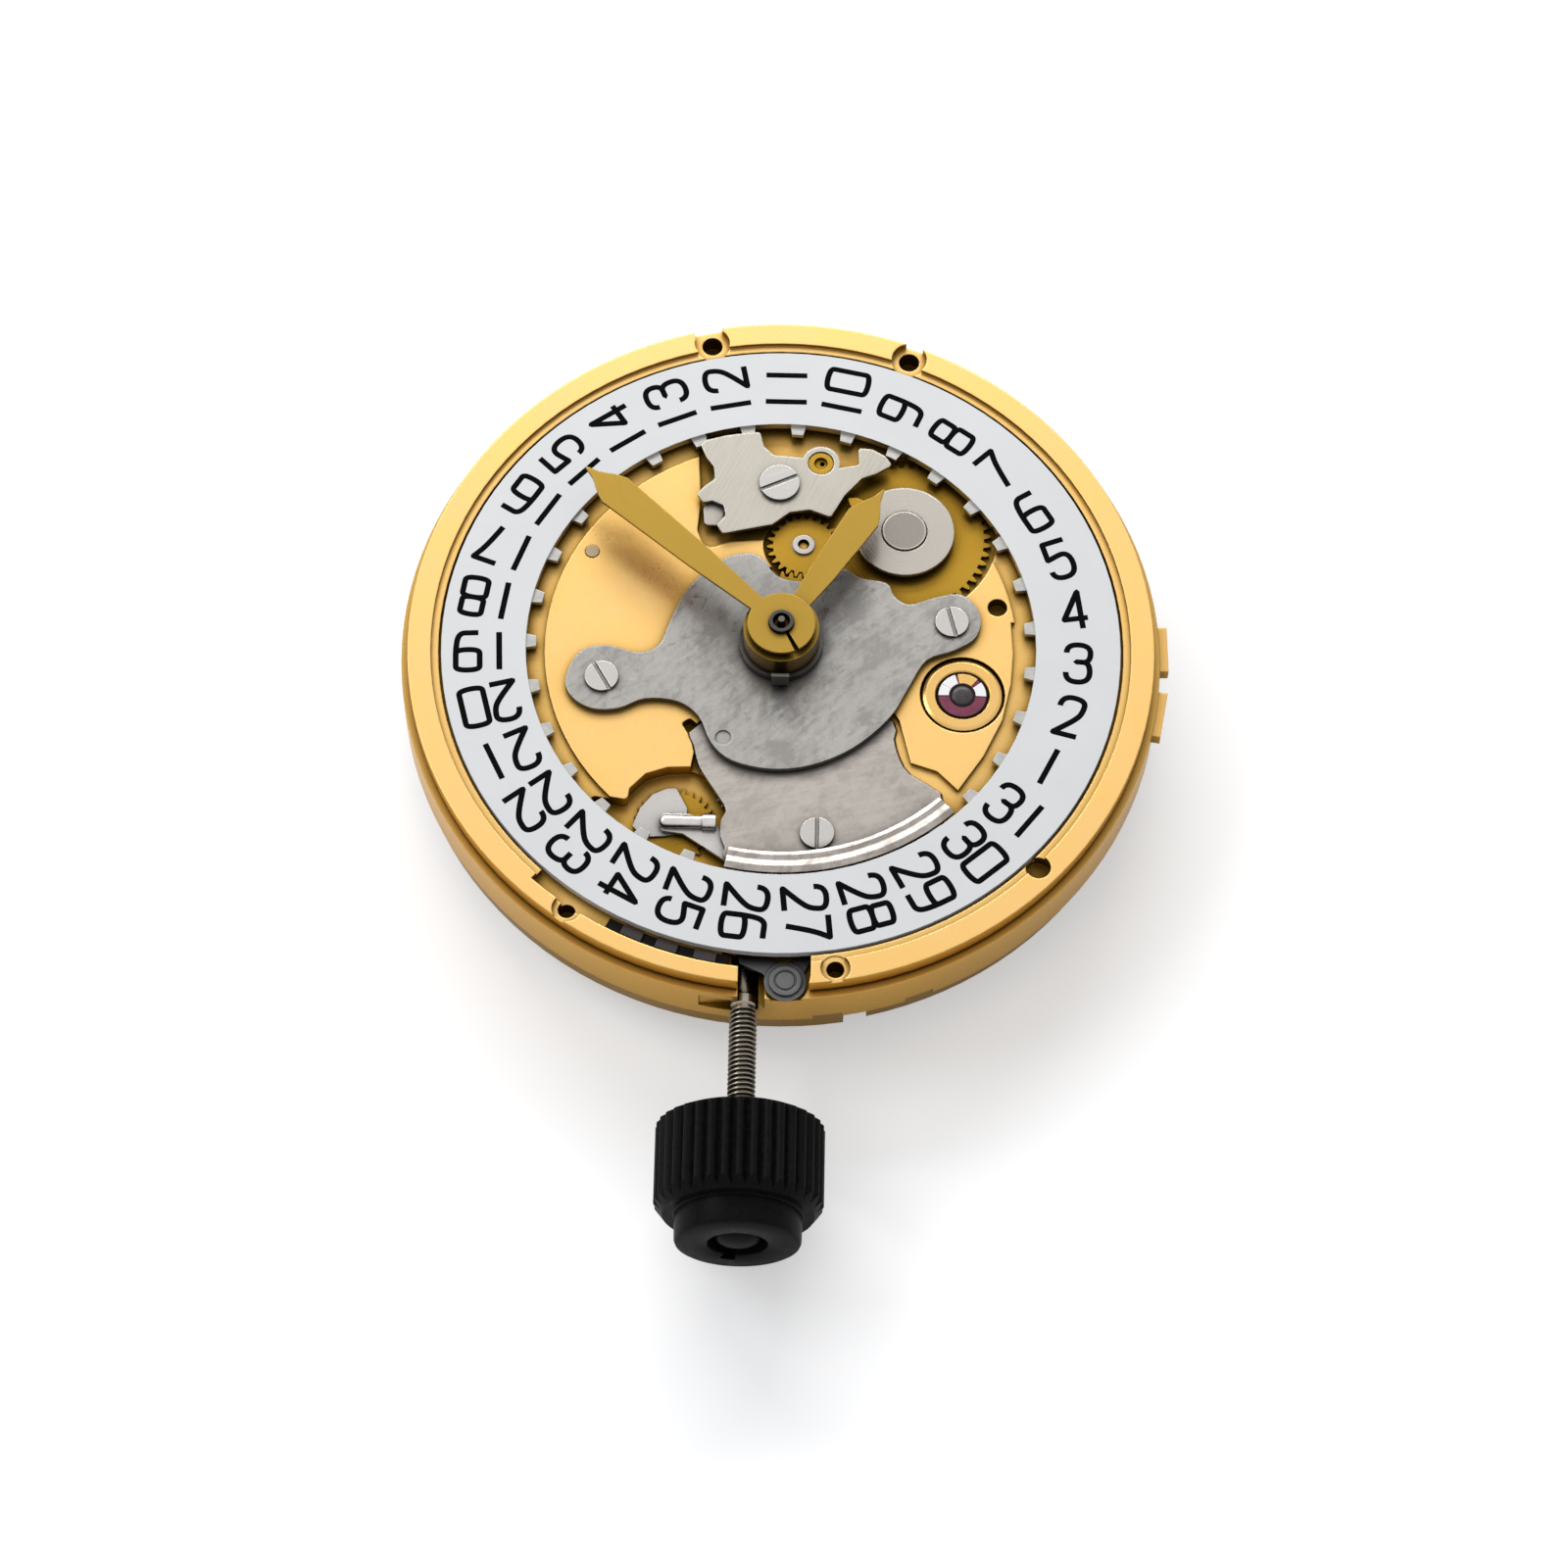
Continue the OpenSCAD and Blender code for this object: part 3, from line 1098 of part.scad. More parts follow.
module pallet_fork() {
    reach = pallet_to_balance - 0.42;
    stone_y = escape_r * sin(22.5);
    stone_x = escape_to_pallet - (escape_r + 0.1) * cos(22.5);
    color("silver") at(P_PALLET) rotate(pallet_dir) {
        slab(z_escape - 0.01, z_escape - 0.13) difference() {
            polygon(rounded([[-stone_x - 0.02, stone_y + 0.3], [-stone_x + 0.2, stone_y + 0.36],
                [0.28, 0.3], [reach - 0.5, 0.12], [reach - 0.2, 0.3], [reach + 0.1, 0.26],
                [reach + 0.1, -0.26], [reach - 0.2, -0.3], [reach - 0.5, -0.12], [0.28, -0.3],
                [-stone_x + 0.2, -stone_y - 0.36], [-stone_x - 0.02, -stone_y - 0.3],
                [-stone_x + 0.06, -stone_y + 0.1], [-0.02, -0.2], [-0.02, 0.2],
                [-stone_x + 0.06, stone_y - 0.1]], 0.05));
            translate([reach - 0.18, -0.11]) square([0.5, 0.22]);
        }
        disc(0.1, z_web - play, z_web - 0.48);
        disc(pivot_end_r, z_web + 0.2, z_web - 0.6);
    }
    // Pallet stones
    color("crimson") at(P_PALLET) rotate(pallet_dir)
        for (s = [-1, 1]) slab(z_escape - 0.005, z_escape - 0.135)
            polygon([[-stone_x - 0.02, s * (stone_y + 0.04)], [-stone_x - 0.02, s * (stone_y + 0.2)],
                [-stone_x + 0.1, s * (stone_y + 0.2)], [-stone_x + 0.1, s * (stone_y + 0.04)]]);
}
module pallet_bridge() {
    away = heading([0, 0], P_PALLET) - 38;
    foot = P_PALLET + polar(2.3, away);
    color("gold") difference() {
        union() {
            slab(z_web - 0.45, z_web - 0.65) polygon(rounded([
                P_PALLET + polar(0.55, away + 120), P_PALLET + polar(0.75, away + 180),
                P_PALLET + polar(0.55, away - 120), foot + polar(0.8, away - 60),
                foot + polar(0.8, away + 60)], 0.3, 5));
            at(foot) disc(0.5, z_web - 0.01, z_web - 0.5);
        }
        at(P_PALLET) disc(0.3, z_web, z_seat);
    }
    color("silver") at(foot) screw(0.38, 0.12, 0.2, 0.3, z_web - 0.64, -1, 30);
}
module balance_wheel() {
    color("gold") at(P_BALANCE) {
        tube(balance_r, balance_r - 0.38, z_balance, z_balance - balance_t);
        for (a = [20, 140, 260]) rotate(a) translate([0.2, -0.14, z_balance - 0.16])
            cube([balance_r - 0.4, 0.28, 0.12]);
        tube(0.45, 0.2 + seat, z_balance - 0.02, z_balance - 0.2);
    }
}
module balance_staff() {
    color("silver") at(P_BALANCE) {
        disc(0.2, z_escape - 0.24, z_cock + 0.03);
        disc(pivot_end_r, z_web + 0.12, z_escape - 0.2);
        disc(0.12, z_web - play, z_escape - 0.26);
        disc(pivot_end_r, z_cock + 0.04, z_cock - 0.18);
        disc(0.55, z_escape - 0.28, z_escape - 0.38);
        disc(0.32, z_balance - 0.24, z_balance - 0.44);
    }
    color("crimson") at(P_BALANCE + polar(0.42, pallet_dir + 180))
        disc(0.07, z_escape - 0.13 - play, z_escape - 0.3);
}
// Balance spring as one flat ribbon
module hairspring() {
    turns = 7;
    ribbon = 0.05;
    r0 = 0.4;
    r1 = 2;
    steps = 24 * turns;
    echo(str("hairspring least gap ", (r1 - r0) / turns - ribbon));
    color("steelblue") at(P_BALANCE) slab(z_balance - 0.3, z_balance - 0.4)
        polygon(concat(
            [for (i = [0:steps]) polar(r0 + (r1 - r0) * i / steps, i * 15)],
            [for (i = [steps:-1:0]) polar(r0 + (r1 - r0) * i / steps - ribbon, i * 15)]));
}
module balance_cock() {
    color("goldenrod") difference() {
        union() {
            slab(z_cock, z_cock - cock_t) polygon(rounded([P_BALANCE + [-0.8, 1], P_BALANCE + [1, 1],
                P_BALANCE + [1.5, -1.2], [10.2, -5.6], [8.6, -8.4], [6.2, -9.3], [5.6, -6.4],
                P_BALANCE + [-1.2, -1]], 0.7, 5));
            slab(z_seat, z_cock - cock_t) intersection() {
                circle(r = wall_in_r + 0.9);
                polygon([[9.5, -5.2], [12.3, -6.6], [12.3, -12], [3, -13], [3.9, -8.9], [5.3, -7.3],
                    [6, -6.3]]);
                difference() {
                    circle(r = 20);
                    translate(P_BALANCE) circle(r = balance_r + 0.3);
                }
            }
        }
        at(P_BALANCE) disc(0.88 + seat, 0, z_under);
        for (p = COCK_SCREWS) at(p) {
            disc(bridge_tapped_r, 0, z_under);
            disc(bridge_sink_r, z_cock - cock_t + 0.2, z_under);
        }
    }
}
module regulator() {
    color("silver") at(P_BALANCE) {
        tube(1.3, 1.04, z_cock - cock_t - 0.01, z_cock - cock_t - 0.1);
        for (a = [-100, -55]) rotate(a) translate([1.2, -0.12, z_cock - cock_t - 0.1])
            cube([1.5, 0.24, 0.09]);
        rotate(-100) translate([1.95, 0, 0]) disc(0.12, z_cock - cock_t - 0.01, z_cock - cock_t - 0.1);
    }
}
// Plan of the train bridge; the barrel bridge takes the ground to its left
TRAIN_SIDE = [[-5, 12.6], [-1.35, 6.4], [-1.35, -4], [1.2, -4.45], [3.7, -4.2]];
module train_plan() {
    intersection() {
        circle(r = wall_in_r + 1);
        difference() {
            polygon(concat(TRAIN_SIDE, [[4.3, -2], [4.6, 3], [12, 5.6], [13, 13], [-5, 14]]));
            translate(P_BALANCE) circle(r = balance_r + 0.25);
        }
    }
}
module barrel_plan() {
    intersection() {
        circle(r = wall_in_r + 1);
        polygon([[-5.12, 14], [-5.12, 12.6], [-1.47, 6.4], [-1.47, -4.1], [1.1, -4.57], [1.6, -6.5],
            [2.4, -13], [-14, -13], [-14, 14]]);
    }
}
// A bridge: a plate under the seat with a thicker rim at the wall
module bridge_body() {
    slab(z_seat, z_bridge) children();
    difference() {
        slab(z_seat - 0.1, z_rim_low) children();
        disc(wall_in_r - 0.7, 0, z_under);
    }
}
module bridge_screw_hole() {
    disc(bridge_tapped_r, 0, z_under);
    disc(bridge_sink_r, z_bridge, z_under);
}
module train_bridge() {
    color("goldenrod") difference() {
        bridge_body() train_plan();
        for (p = [P_THIRD, P_ESCAPE]) at(p) {
            disc(jewel_r, z_seat + over, z_seat - 0.32);
            disc(0.2, 0, z_under);
        }
        disc(centre_jewel_r, z_seat + over, z_seat - 0.32);
        disc(0.3, 0, z_under);
        for (p = TRAIN_SCREWS) at(p) bridge_screw_hole();
        for (p = AUTO_FEET) at(p) disc(tapped_r, 0, z_under);
    }
}
module barrel_bridge() {
    color("goldenrod") difference() {
        bridge_body() barrel_plan();
        at(P_BARREL) disc(arbor_r - 0.05 + run, 0, z_under);
        at(P_CROWN) disc(crown_hub_r + run, 0, z_under);
        at(P_IDLER) disc(bridge_tapped_r, 0, z_under);
        for (p = BARREL_SCREWS) at(p) bridge_screw_hole();
        at(P_CROWN) disc(crown_wheel_r + winding_m + 0.15, z_bridge, z_under);
        at(AUTO_FEET[1]) disc(tapped_r, 0, z_under);
        at(CLICK) disc(0.26, 0, z_under);
    }
}
module crown_wheel() {
    color("silver") at(P_CROWN) {
        difference() {
            toothed_plain(crown_low_n, 2 * crown_low_r / crown_low_n, z_crown_low, z_seat + 0.04,
                90 + 180 + 180 / crown_low_n);
            disc(0.2, 0, z_under);
        }
        tube(crown_hub_r, 0.2, z_seat + 0.06, z_wind);
        difference() {
            toothed(crown_up_n, winding_m, z_wind, z_wind - winding_t, 0);
            disc(0.2, 0, z_under);
        }
    }
}
module winding_idler() {
    color("silver") at(P_IDLER) difference() {
        toothed(idler_n, winding_m, z_wind, z_wind - winding_t, idler_turn);
        disc(idler_stud_r + run, 0, z_under);
    }
}
module ratchet_wheel() {
    color("silver") at(P_BARREL) difference() {
        toothed(ratchet_n, winding_m, z_wind, z_wind - winding_t, ratchet_turn);
        slab(0, z_under) square(arbor_square + 2 * seat, center = true);
    }
}
CLICK = P_BARREL + polar(ratchet_r + 1.35, 205);
module click() {
    color("silver") at(CLICK) {
        slab(z_wind, z_wind - winding_t) polygon(rounded([[-0.5, -0.4], [0.4, -0.5], [0.6, 0.1],
            [0.74, 1.28], [0.6, 1.45], [0.25, 0.7], [-0.4, 0.5]], 0.1));
        disc(0.22, z_seat - 0.15, z_wind - 0.02);
    }
}
module bridge_screws() {
    color("silver") {
        for (p = concat(BARREL_SCREWS, TRAIN_SCREWS))
            at(p) screw(bridge_head_r, 0.22, tapped_r, 1.2, z_bridge, -1, 40);
        for (p = COCK_SCREWS)
            at(p) screw(bridge_head_r, 0.18, tapped_r, 1.2, z_cock - cock_t + 0.2, -1, 70);
        for (p = AUTO_FEET) at(p) screw(0.55, 0.14, 0.24, 1.3, z_auto_low, -1, 10);
        // Centre screw of the ratchet wheel and stud of the intermediate winding wheel
        at(P_BARREL) screw(0.95, 0.16, 0.01, 0.01, z_wind - winding_t, -1, 60);
        at(P_IDLER) {
            disc(idler_stud_r, z_bridge, z_wind - winding_t - 0.02);
            screw(0.95, 0.14, tapped_r, 0.7, z_wind - winding_t - 0.03, -1, 15);
        }
    }
}
// Automatic work
module automatic_bridge() {
    color("goldenrod") difference() {
        union() {
            slab(z_auto, z_auto_low) polygon(rounded([[-4.3, 8.9], [-2.6, 9.3], [0.4, 8.2], [3.6, 7.9],
                [5.3, 7], [4.9, 5.6], [2.7, 3.4], [2.3, 0.4], [1.4, -1.6], [1.2, -3.6], [0.2, -4.3],
                [-0.7, -3.6], [-1.6, -1.4], [-2.4, 0.6], [-3.3, 3.9], [-3.7, 5.6], [-4.2, 7.4]], 0.8, 5));
            for (p = AUTO_FEET) at(p) disc(0.58, z_bridge, z_auto_low);
        }
        disc(race_r, 0, z_under);
        for (p = AUTO_FEET) at(p) disc(tapped_r - 0.01, 0, z_under);
        for (p = [P_REV_A, P_REV_B, P_REDUCE]) at(p) disc(0.14, 0, z_under);
    }
}
// Fixed race of the rotor's bearing, pressed into the automatic bridge
module rotor_bearing() {
    color("silver") tube(race_r - seat, rotor_hub_r + run, z_auto - 0.02, z_auto_low - 0.08);
}
module reversing_wheel(turn) {
    toothed(reverse_n, reverse_m, z_reverse, z_reverse - reduce_t, turn);
    toothed(output_n, output_m, z_reduce + 0.02, z_reverse);
    disc(0.12, z_bridge - 0.03, z_auto_low + 0.06);
}
module reversing_wheel_a() {
    color("silver") at(P_REV_A) reversing_wheel(rev_a_turn);
}
module reversing_wheel_b() {
    color("silver") at(P_REV_B) reversing_wheel(rev_b_turn);
}
module reduction_wheel() {
    color("gold") at(P_REDUCE) {
        toothed(reduce_n, reduce_m, z_reduce, z_reduce - reduce_t, 0);
        toothed(reduce_pinion_n, winding_m, z_wind - 0.01, z_reduce, reduce_pinion_turn);
        disc(0.12, z_bridge - 0.03, z_auto_low + 0.06);
    }
}
// Everything on the side that the rotor's weight leaves free
module rotor_gap() {
    r = 2 * rotor_r;
    slab(0, z_under) polygon([[0, 0], polar(r, 90 + rotor_half), polar(2 * r, 270),
        polar(r, 90 - rotor_half)]);
}
module rotor() {
    color("silver") difference() {
        union() {
            difference() {
                union() {
                    disc(rotor_in_r + 0.3, z_rotor, z_rotor - rotor_t);
                    tube(rotor_r, rotor_in_r, z_auto + 0.07, z_bottom);
                }
                rotor_gap();
                for (a = [-58, 0, 58]) rotate(a) slab(0, z_under)
                    polygon(rounded(concat(arc([0, 0], 8.8, 68, 112, 8),
                        arc([0, 0], 4.2, 106, 74, 6)), 0.5));
            }
            disc(2.4, z_rotor, z_rotor - rotor_t);
            disc(rotor_hub_r, z_reverse, z_rotor - 0.05);
            disc(1.2, z_rotor, z_bottom);
            toothed(reverse_n, reverse_m, z_reverse, z_reverse - reduce_t);
        }
        translate([-1.3, -0.12, z_bottom - over]) cube([2.6, 0.24, over + 0.08]);
    }
}

main_plate();
maintaining_plate();
calendar_plate();
keyless_cover();
date_ring();
date_jumper();
jumper_eccentric();
intermediate_date_wheel();
date_driving_wheel();
date_wheel_cap();
hour_wheel();
cannon_pinion();
minute_wheel();
hour_hand();
minute_hand();
dial_washer();
setting_wheel();
setting_lever();
yoke();
corrector_wheel();
corrector_rocker();
release_button();
sliding_pinion();
winding_pinion();
stem();
crown();
shock_blocks();
shock_spring();
cap_jewels();
train_jewels();
dial_side_screws();
steady_pins();
barrel_drum();
barrel_cover();
barrel_arbor();
mainspring();
centre_wheel();
third_wheel();
fourth_wheel();
escape_wheel();
pallet_fork();
pallet_bridge();
balance_wheel();
balance_staff();
hairspring();
balance_cock();
regulator();
train_bridge();
barrel_bridge();
crown_wheel();
winding_idler();
ratchet_wheel();
click();
bridge_screws();
automatic_bridge();
rotor_bearing();
reversing_wheel_a();
reversing_wheel_b();
reduction_wheel();
rotor();
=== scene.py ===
"""Automatic watch movement, dial side up, dressed for a plain studio picture."""

import logging
import math
from dataclasses import dataclass, replace
from enum import Enum
from functools import cache
from typing import Any, Optional, Sequence, Union

import bmesh
import bpy
from mathutils import Matrix, Vector


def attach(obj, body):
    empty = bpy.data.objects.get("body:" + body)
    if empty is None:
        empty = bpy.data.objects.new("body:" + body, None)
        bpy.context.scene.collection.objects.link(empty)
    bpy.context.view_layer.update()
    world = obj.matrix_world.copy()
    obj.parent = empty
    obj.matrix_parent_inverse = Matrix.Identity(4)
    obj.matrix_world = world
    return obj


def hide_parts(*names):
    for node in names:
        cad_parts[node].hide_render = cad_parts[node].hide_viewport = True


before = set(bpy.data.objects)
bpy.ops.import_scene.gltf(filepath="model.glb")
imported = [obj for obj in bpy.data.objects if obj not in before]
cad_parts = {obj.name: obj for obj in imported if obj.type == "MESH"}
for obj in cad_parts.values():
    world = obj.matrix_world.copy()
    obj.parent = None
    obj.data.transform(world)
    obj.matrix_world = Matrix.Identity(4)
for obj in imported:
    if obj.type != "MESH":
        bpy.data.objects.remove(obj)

log = logging.getLogger("movement")

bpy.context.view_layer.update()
MM = 0.001
FULL_TURN = 2 * math.pi
WELD = 0.0005
SHARP_ANGLE = 35.0
SHADE_SAMPLES = 6
EDGE_SAMPLES = 4

Point = tuple[float, float]
Colour = tuple[float, float, float]
Number = Union[float, "Wire"]
Paint = Union[Colour, "Wire"]


def dimmed(colour: Colour, factor: float) -> Colour:
    """Returns a colour times a factor."""
    red, green, blue = colour
    return factor * red, factor * green, factor * blue


# shader arithmetic


class Wire:
    """Socket of a node that takes part in Python arithmetic."""

    def __init__(self, tree: "Tree", socket: bpy.types.NodeSocket) -> None:
        """Keeps the socket and the tree that new Math nodes are added to."""
        self.tree = tree
        self.socket = socket

    def _math(self, operation: str, first: Number, second: Number = 0.0) -> "Wire":
        """Returns the output of a Math node."""
        return self.tree.wire("ShaderNodeMath", {"operation": operation}, {0: first, 1: second})

    def __add__(self, other: Number) -> "Wire":
        """Adds."""
        return self._math("ADD", self, other)

    __radd__ = __add__

    def __sub__(self, other: Number) -> "Wire":
        """Subtracts."""
        return self._math("SUBTRACT", self, other)

    def __rsub__(self, other: Number) -> "Wire":
        """Subtracts from a value."""
        return self._math("SUBTRACT", other, self)

    def __mul__(self, other: Number) -> "Wire":
        """Multiplies."""
        return self._math("MULTIPLY", self, other)

    __rmul__ = __mul__

    def __pow__(self, other: Number) -> "Wire":
        """Raises to a power."""
        return self._math("POWER", self, other)

    def __rpow__(self, other: Number) -> "Wire":
        """Raises a value to this power."""
        return self._math("POWER", other, self)

    def over(self, limit: float) -> "Wire":
        """Returns 1 where the value is over the limit and 0 elsewhere."""
        return self._math("GREATER_THAN", self, limit)

    def wave(self) -> "Wire":
        """Returns the sine."""
        return self._math("SINE", self)

    def larger(self, other: Number) -> "Wire":
        """Returns the larger of two values."""
        return self._math("MAXIMUM", self, other)

    def angle(self, other: "Wire") -> "Wire":
        """Returns the angle whose tangent is this value over the other."""
        return self._math("ARCTAN2", self, other)

    def span(self, low: float, high: float, out_low: float = 0.0,
             out_high: float = 1.0) -> "Wire":
        """Returns the value mapped from one span to another and held inside it."""
        ends = {0: self, 1: low, 2: high, 3: out_low, 4: out_high}
        return self.tree.wire("ShaderNodeMapRange", {"clamp": True}, ends)

    def spread(self, out_low: float = 0.0, out_high: float = 1.0) -> "Wire":
        """Returns a noise with its middle, where most of it lies, mapped to a full span."""
        return self.span(0.3, 0.7, out_low, out_high)


class Tree:
    """Node tree of a material or a world, with one method that adds any node."""

    def __init__(self, owner: Union[bpy.types.Material, bpy.types.World],
                 output: str = "ShaderNodeOutputMaterial",
                 shader: str = "ShaderNodeBsdfPrincipled") -> None:
        """Empties the owner's tree and adds its output and main shader.

        Args:
            owner: Material or world that is built.
            output: Type of the output node.
            shader: Type of the main shader.
        """
        owner.use_nodes = True
        self.nodes = owner.node_tree.nodes
        self.links = owner.node_tree.links
        self.nodes.clear()
        self.shader = self.add(shader)
        self.add(output, None, {"Surface": Wire(self, self.shader.outputs[0])})

    def add(self, kind: str, settings: Optional[dict[str, Any]] = None,
            inputs: Optional[dict[Any, Any]] = None) -> bpy.types.Node:
        """Adds a node.

        Args:
            kind: Type of the node.
            settings: Attributes that are set first.
            inputs: Values or wires by socket name or number.

        Returns:
            The new node.
        """
        node = self.nodes.new(kind)
        for name, value in (settings or {}).items():
            setattr(node, name, value)
        for key, value in (inputs or {}).items():
            self.put(node.inputs[key], value)
        return node

    def wire(self, kind: str, settings: Optional[dict[str, Any]] = None,
             inputs: Optional[dict[Any, Any]] = None, output: Union[int, str] = 0) -> Wire:
        """Adds a node and returns one of its outputs."""
        return Wire(self, self.add(kind, settings, inputs).outputs[output])

    def put(self, socket: bpy.types.NodeSocket, value: Any) -> None:
        """Links a wire to a socket, or sets the socket's own value.

        Args:
            socket: Input socket.
            value: Wire, colour, vector or number.
        """
        if isinstance(value, Wire):
            self.links.new(value.socket, socket)
        elif isinstance(value, tuple) and socket.type == "RGBA":
            socket.default_value = (*value, 1.0)
        else:
            socket.default_value = value

    def surface(self, name: Union[int, str], value: Any) -> None:
        """Feeds a socket of the main shader."""
        self.put(self.shader.inputs[name], value)

    def place(self, centre: Point = (0.0, 0.0), turn: float = 0.0) -> Wire:
        """Returns the object's own coordinates in millimetres, moved and then turned.

        Args:
            centre: Point that becomes the origin, in millimetres.
            turn: Turn about Z, in degrees.

        Returns:
            The coordinates.
        """
        scaled = self.wire("ShaderNodeMapping", None, {
            "Vector": self.wire("ShaderNodeTexCoord", output="Object"),
            "Location": (-centre[0], -centre[1], 0.0), "Scale": (1 / MM, 1 / MM, 1 / MM)})
        return self.wire("ShaderNodeMapping", None, {
            "Vector": scaled, "Rotation": (0.0, 0.0, math.radians(-turn))})

    def split(self, vector: Wire) -> tuple[Wire, Wire, Wire]:
        """Returns the three parts of a vector."""
        x, y, z = self.add("ShaderNodeSeparateXYZ", None, {0: vector}).outputs
        return Wire(self, x), Wire(self, y), Wire(self, z)

    def join(self, x: Number, y: Number, z: Number) -> Wire:
        """Returns a vector of three parts."""
        return self.wire("ShaderNodeCombineXYZ", None, {0: x, 1: y, 2: z})

    def radius(self, x: Wire, y: Wire) -> Wire:
        """Returns the distance from the Z axis."""
        return (x * x + y * y) ** 0.5

    def noise(self, vector: Wire, scale: float, detail: float = 3.0, rough: float = 0.55) -> Wire:
        """Returns soft noise between 0 and 1.

        Args:
            vector: Coordinates in millimetres.
            scale: Waves in a millimetre.
            detail: Octaves.
            rough: Weight of the finer octaves.

        Returns:
            The noise.
        """
        return self.wire("ShaderNodeTexNoise", None, {
            "Vector": vector, "Scale": scale, "Detail": detail, "Roughness": rough})

    def patches(self, vector: Wire, scale: float, length: float) -> Wire:
        """Returns short brush marks whose direction changes from patch to patch.

        Args:
            vector: Coordinates in millimetres.
            scale: Patches in a millimetre.
            length: Length of a mark against its width.

        Returns:
            The marks between 0 and 1.
        """
        drift = self.wire("ShaderNodeTexNoise", None,
                          {"Vector": vector, "Scale": 1.4, "Detail": 2.0}, "Color")
        bent = self.wire("ShaderNodeVectorMath", {"operation": "MULTIPLY_ADD"},
                         {0: drift, 1: (1.1, 1.1, 1.1), 2: vector})
        cell = self.wire("ShaderNodeTexVoronoi", None, {"Vector": bent, "Scale": scale}, "Color")
        chance, other, _ = self.split(cell)
        x, y, z = self.split(vector)
        turn = chance * math.pi
        sine, cosine = turn.wave(), (turn + math.pi / 2).wave()
        along, across = x * cosine + y * sine, y * cosine - x * sine
        marks = self.noise(self.join(along, across * length, z), 1.5, 4.0, 0.65)
        return marks * 0.7 + other * 0.3

    def hairlines(self, vector: Wire, turn: float) -> Wire:
        """Returns 1 on a few thin scratches and 0 between them.

        Args:
            vector: Coordinates in millimetres.
            turn: Direction of the scratches in degrees.

        Returns:
            The mask of the scratches.
        """
        x, y, z = self.split(vector)
        cosine, sine = math.cos(math.radians(turn)), math.sin(math.radians(turn))
        along, across = x * cosine + y * sine, y * cosine - x * sine
        return self.noise(self.join(along * 0.35, across * 22.0, z), 1.0, 2.0).span(0.69, 0.75)

    def crevice(self, reach: float) -> Wire:
        """Returns 0 in the open and up to 1 in a corner, within a reach in millimetres."""
        return 1.0 - self.wire("ShaderNodeAmbientOcclusion", {"samples": SHADE_SAMPLES},
                               {"Distance": reach * MM}, "AO")

    def brink(self, radius: float) -> Wire:
        """Returns 1 on the brink of a sharp edge and 0 on open ground.

        Args:
            radius: Width of the brink in millimetres.

        Returns:
            The mask of the brink.
        """
        soft = self.wire("ShaderNodeBevel", {"samples": SHADE_SAMPLES}, {"Radius": radius * MM})
        true = self.wire("ShaderNodeNewGeometry", output="Normal")
        same = self.wire("ShaderNodeVectorMath", {"operation": "DOT_PRODUCT"},
                         {0: soft, 1: true}, "Value")
        return (1.0 - same).span(0.02, 0.2)

    def upright(self) -> Wire:
        """Returns 1 on an upright wall and 0 on a level face."""
        _, _, z = self.split(self.wire("ShaderNodeTexCoord", output="Normal"))
        return 1.0 - (z * z).span(0.05, 0.6)

    def blend(self, factor: Number, first: Paint, second: Paint) -> Wire:
        """Returns a mix that is the first colour at 0 and the second at 1."""
        inputs = {0: factor, 6: first, 7: second}
        return self.wire("ShaderNodeMix", {"data_type": "RGBA"}, inputs, 2)

    def relief(self, height: Wire, depth: float, edge: float) -> None:
        """Feeds the shader's normal with a fine relief over softly broken edges.

        Args:
            height: Height between 0 and 1.
            depth: Depth of the relief in millimetres.
            edge: Radius that sharp edges seem to have, in millimetres; 0 leaves them sharp.
        """
        inputs: dict[Any, Any] = {"Height": height, "Distance": depth * MM, "Strength": 1.0}
        if edge:
            inputs["Normal"] = self.wire("ShaderNodeBevel", {"samples": EDGE_SAMPLES},
                                         {"Radius": edge * MM})
        self.surface("Normal", self.wire("ShaderNodeBump", None, inputs))


# finishes


@dataclass(frozen=True)
class Finish:
    """Procedural finish with its two main colours and the record's material slot."""

    name: str
    slot: str
    colour: Colour
    shade: Colour

    def paint(self, tree: Tree) -> None:
        """Builds the nodes of the finish."""
        raise NotImplementedError

    @cache
    def material(self) -> bpy.types.Material:
        """Makes the material, once.

        Returns:
            The finished material.
        """
        made = bpy.data.materials.new(self.name)
        self.paint(Tree(made))
        return made


class Grain(Enum):
    """Ways in which a metal surface is worked."""

    FROSTED = "frosted"
    LINEAR = "linear"
    CIRCULAR = "circular"
    MOTTLED = "mottled"
    POLISHED = "polished"
    STRIPED = "striped"


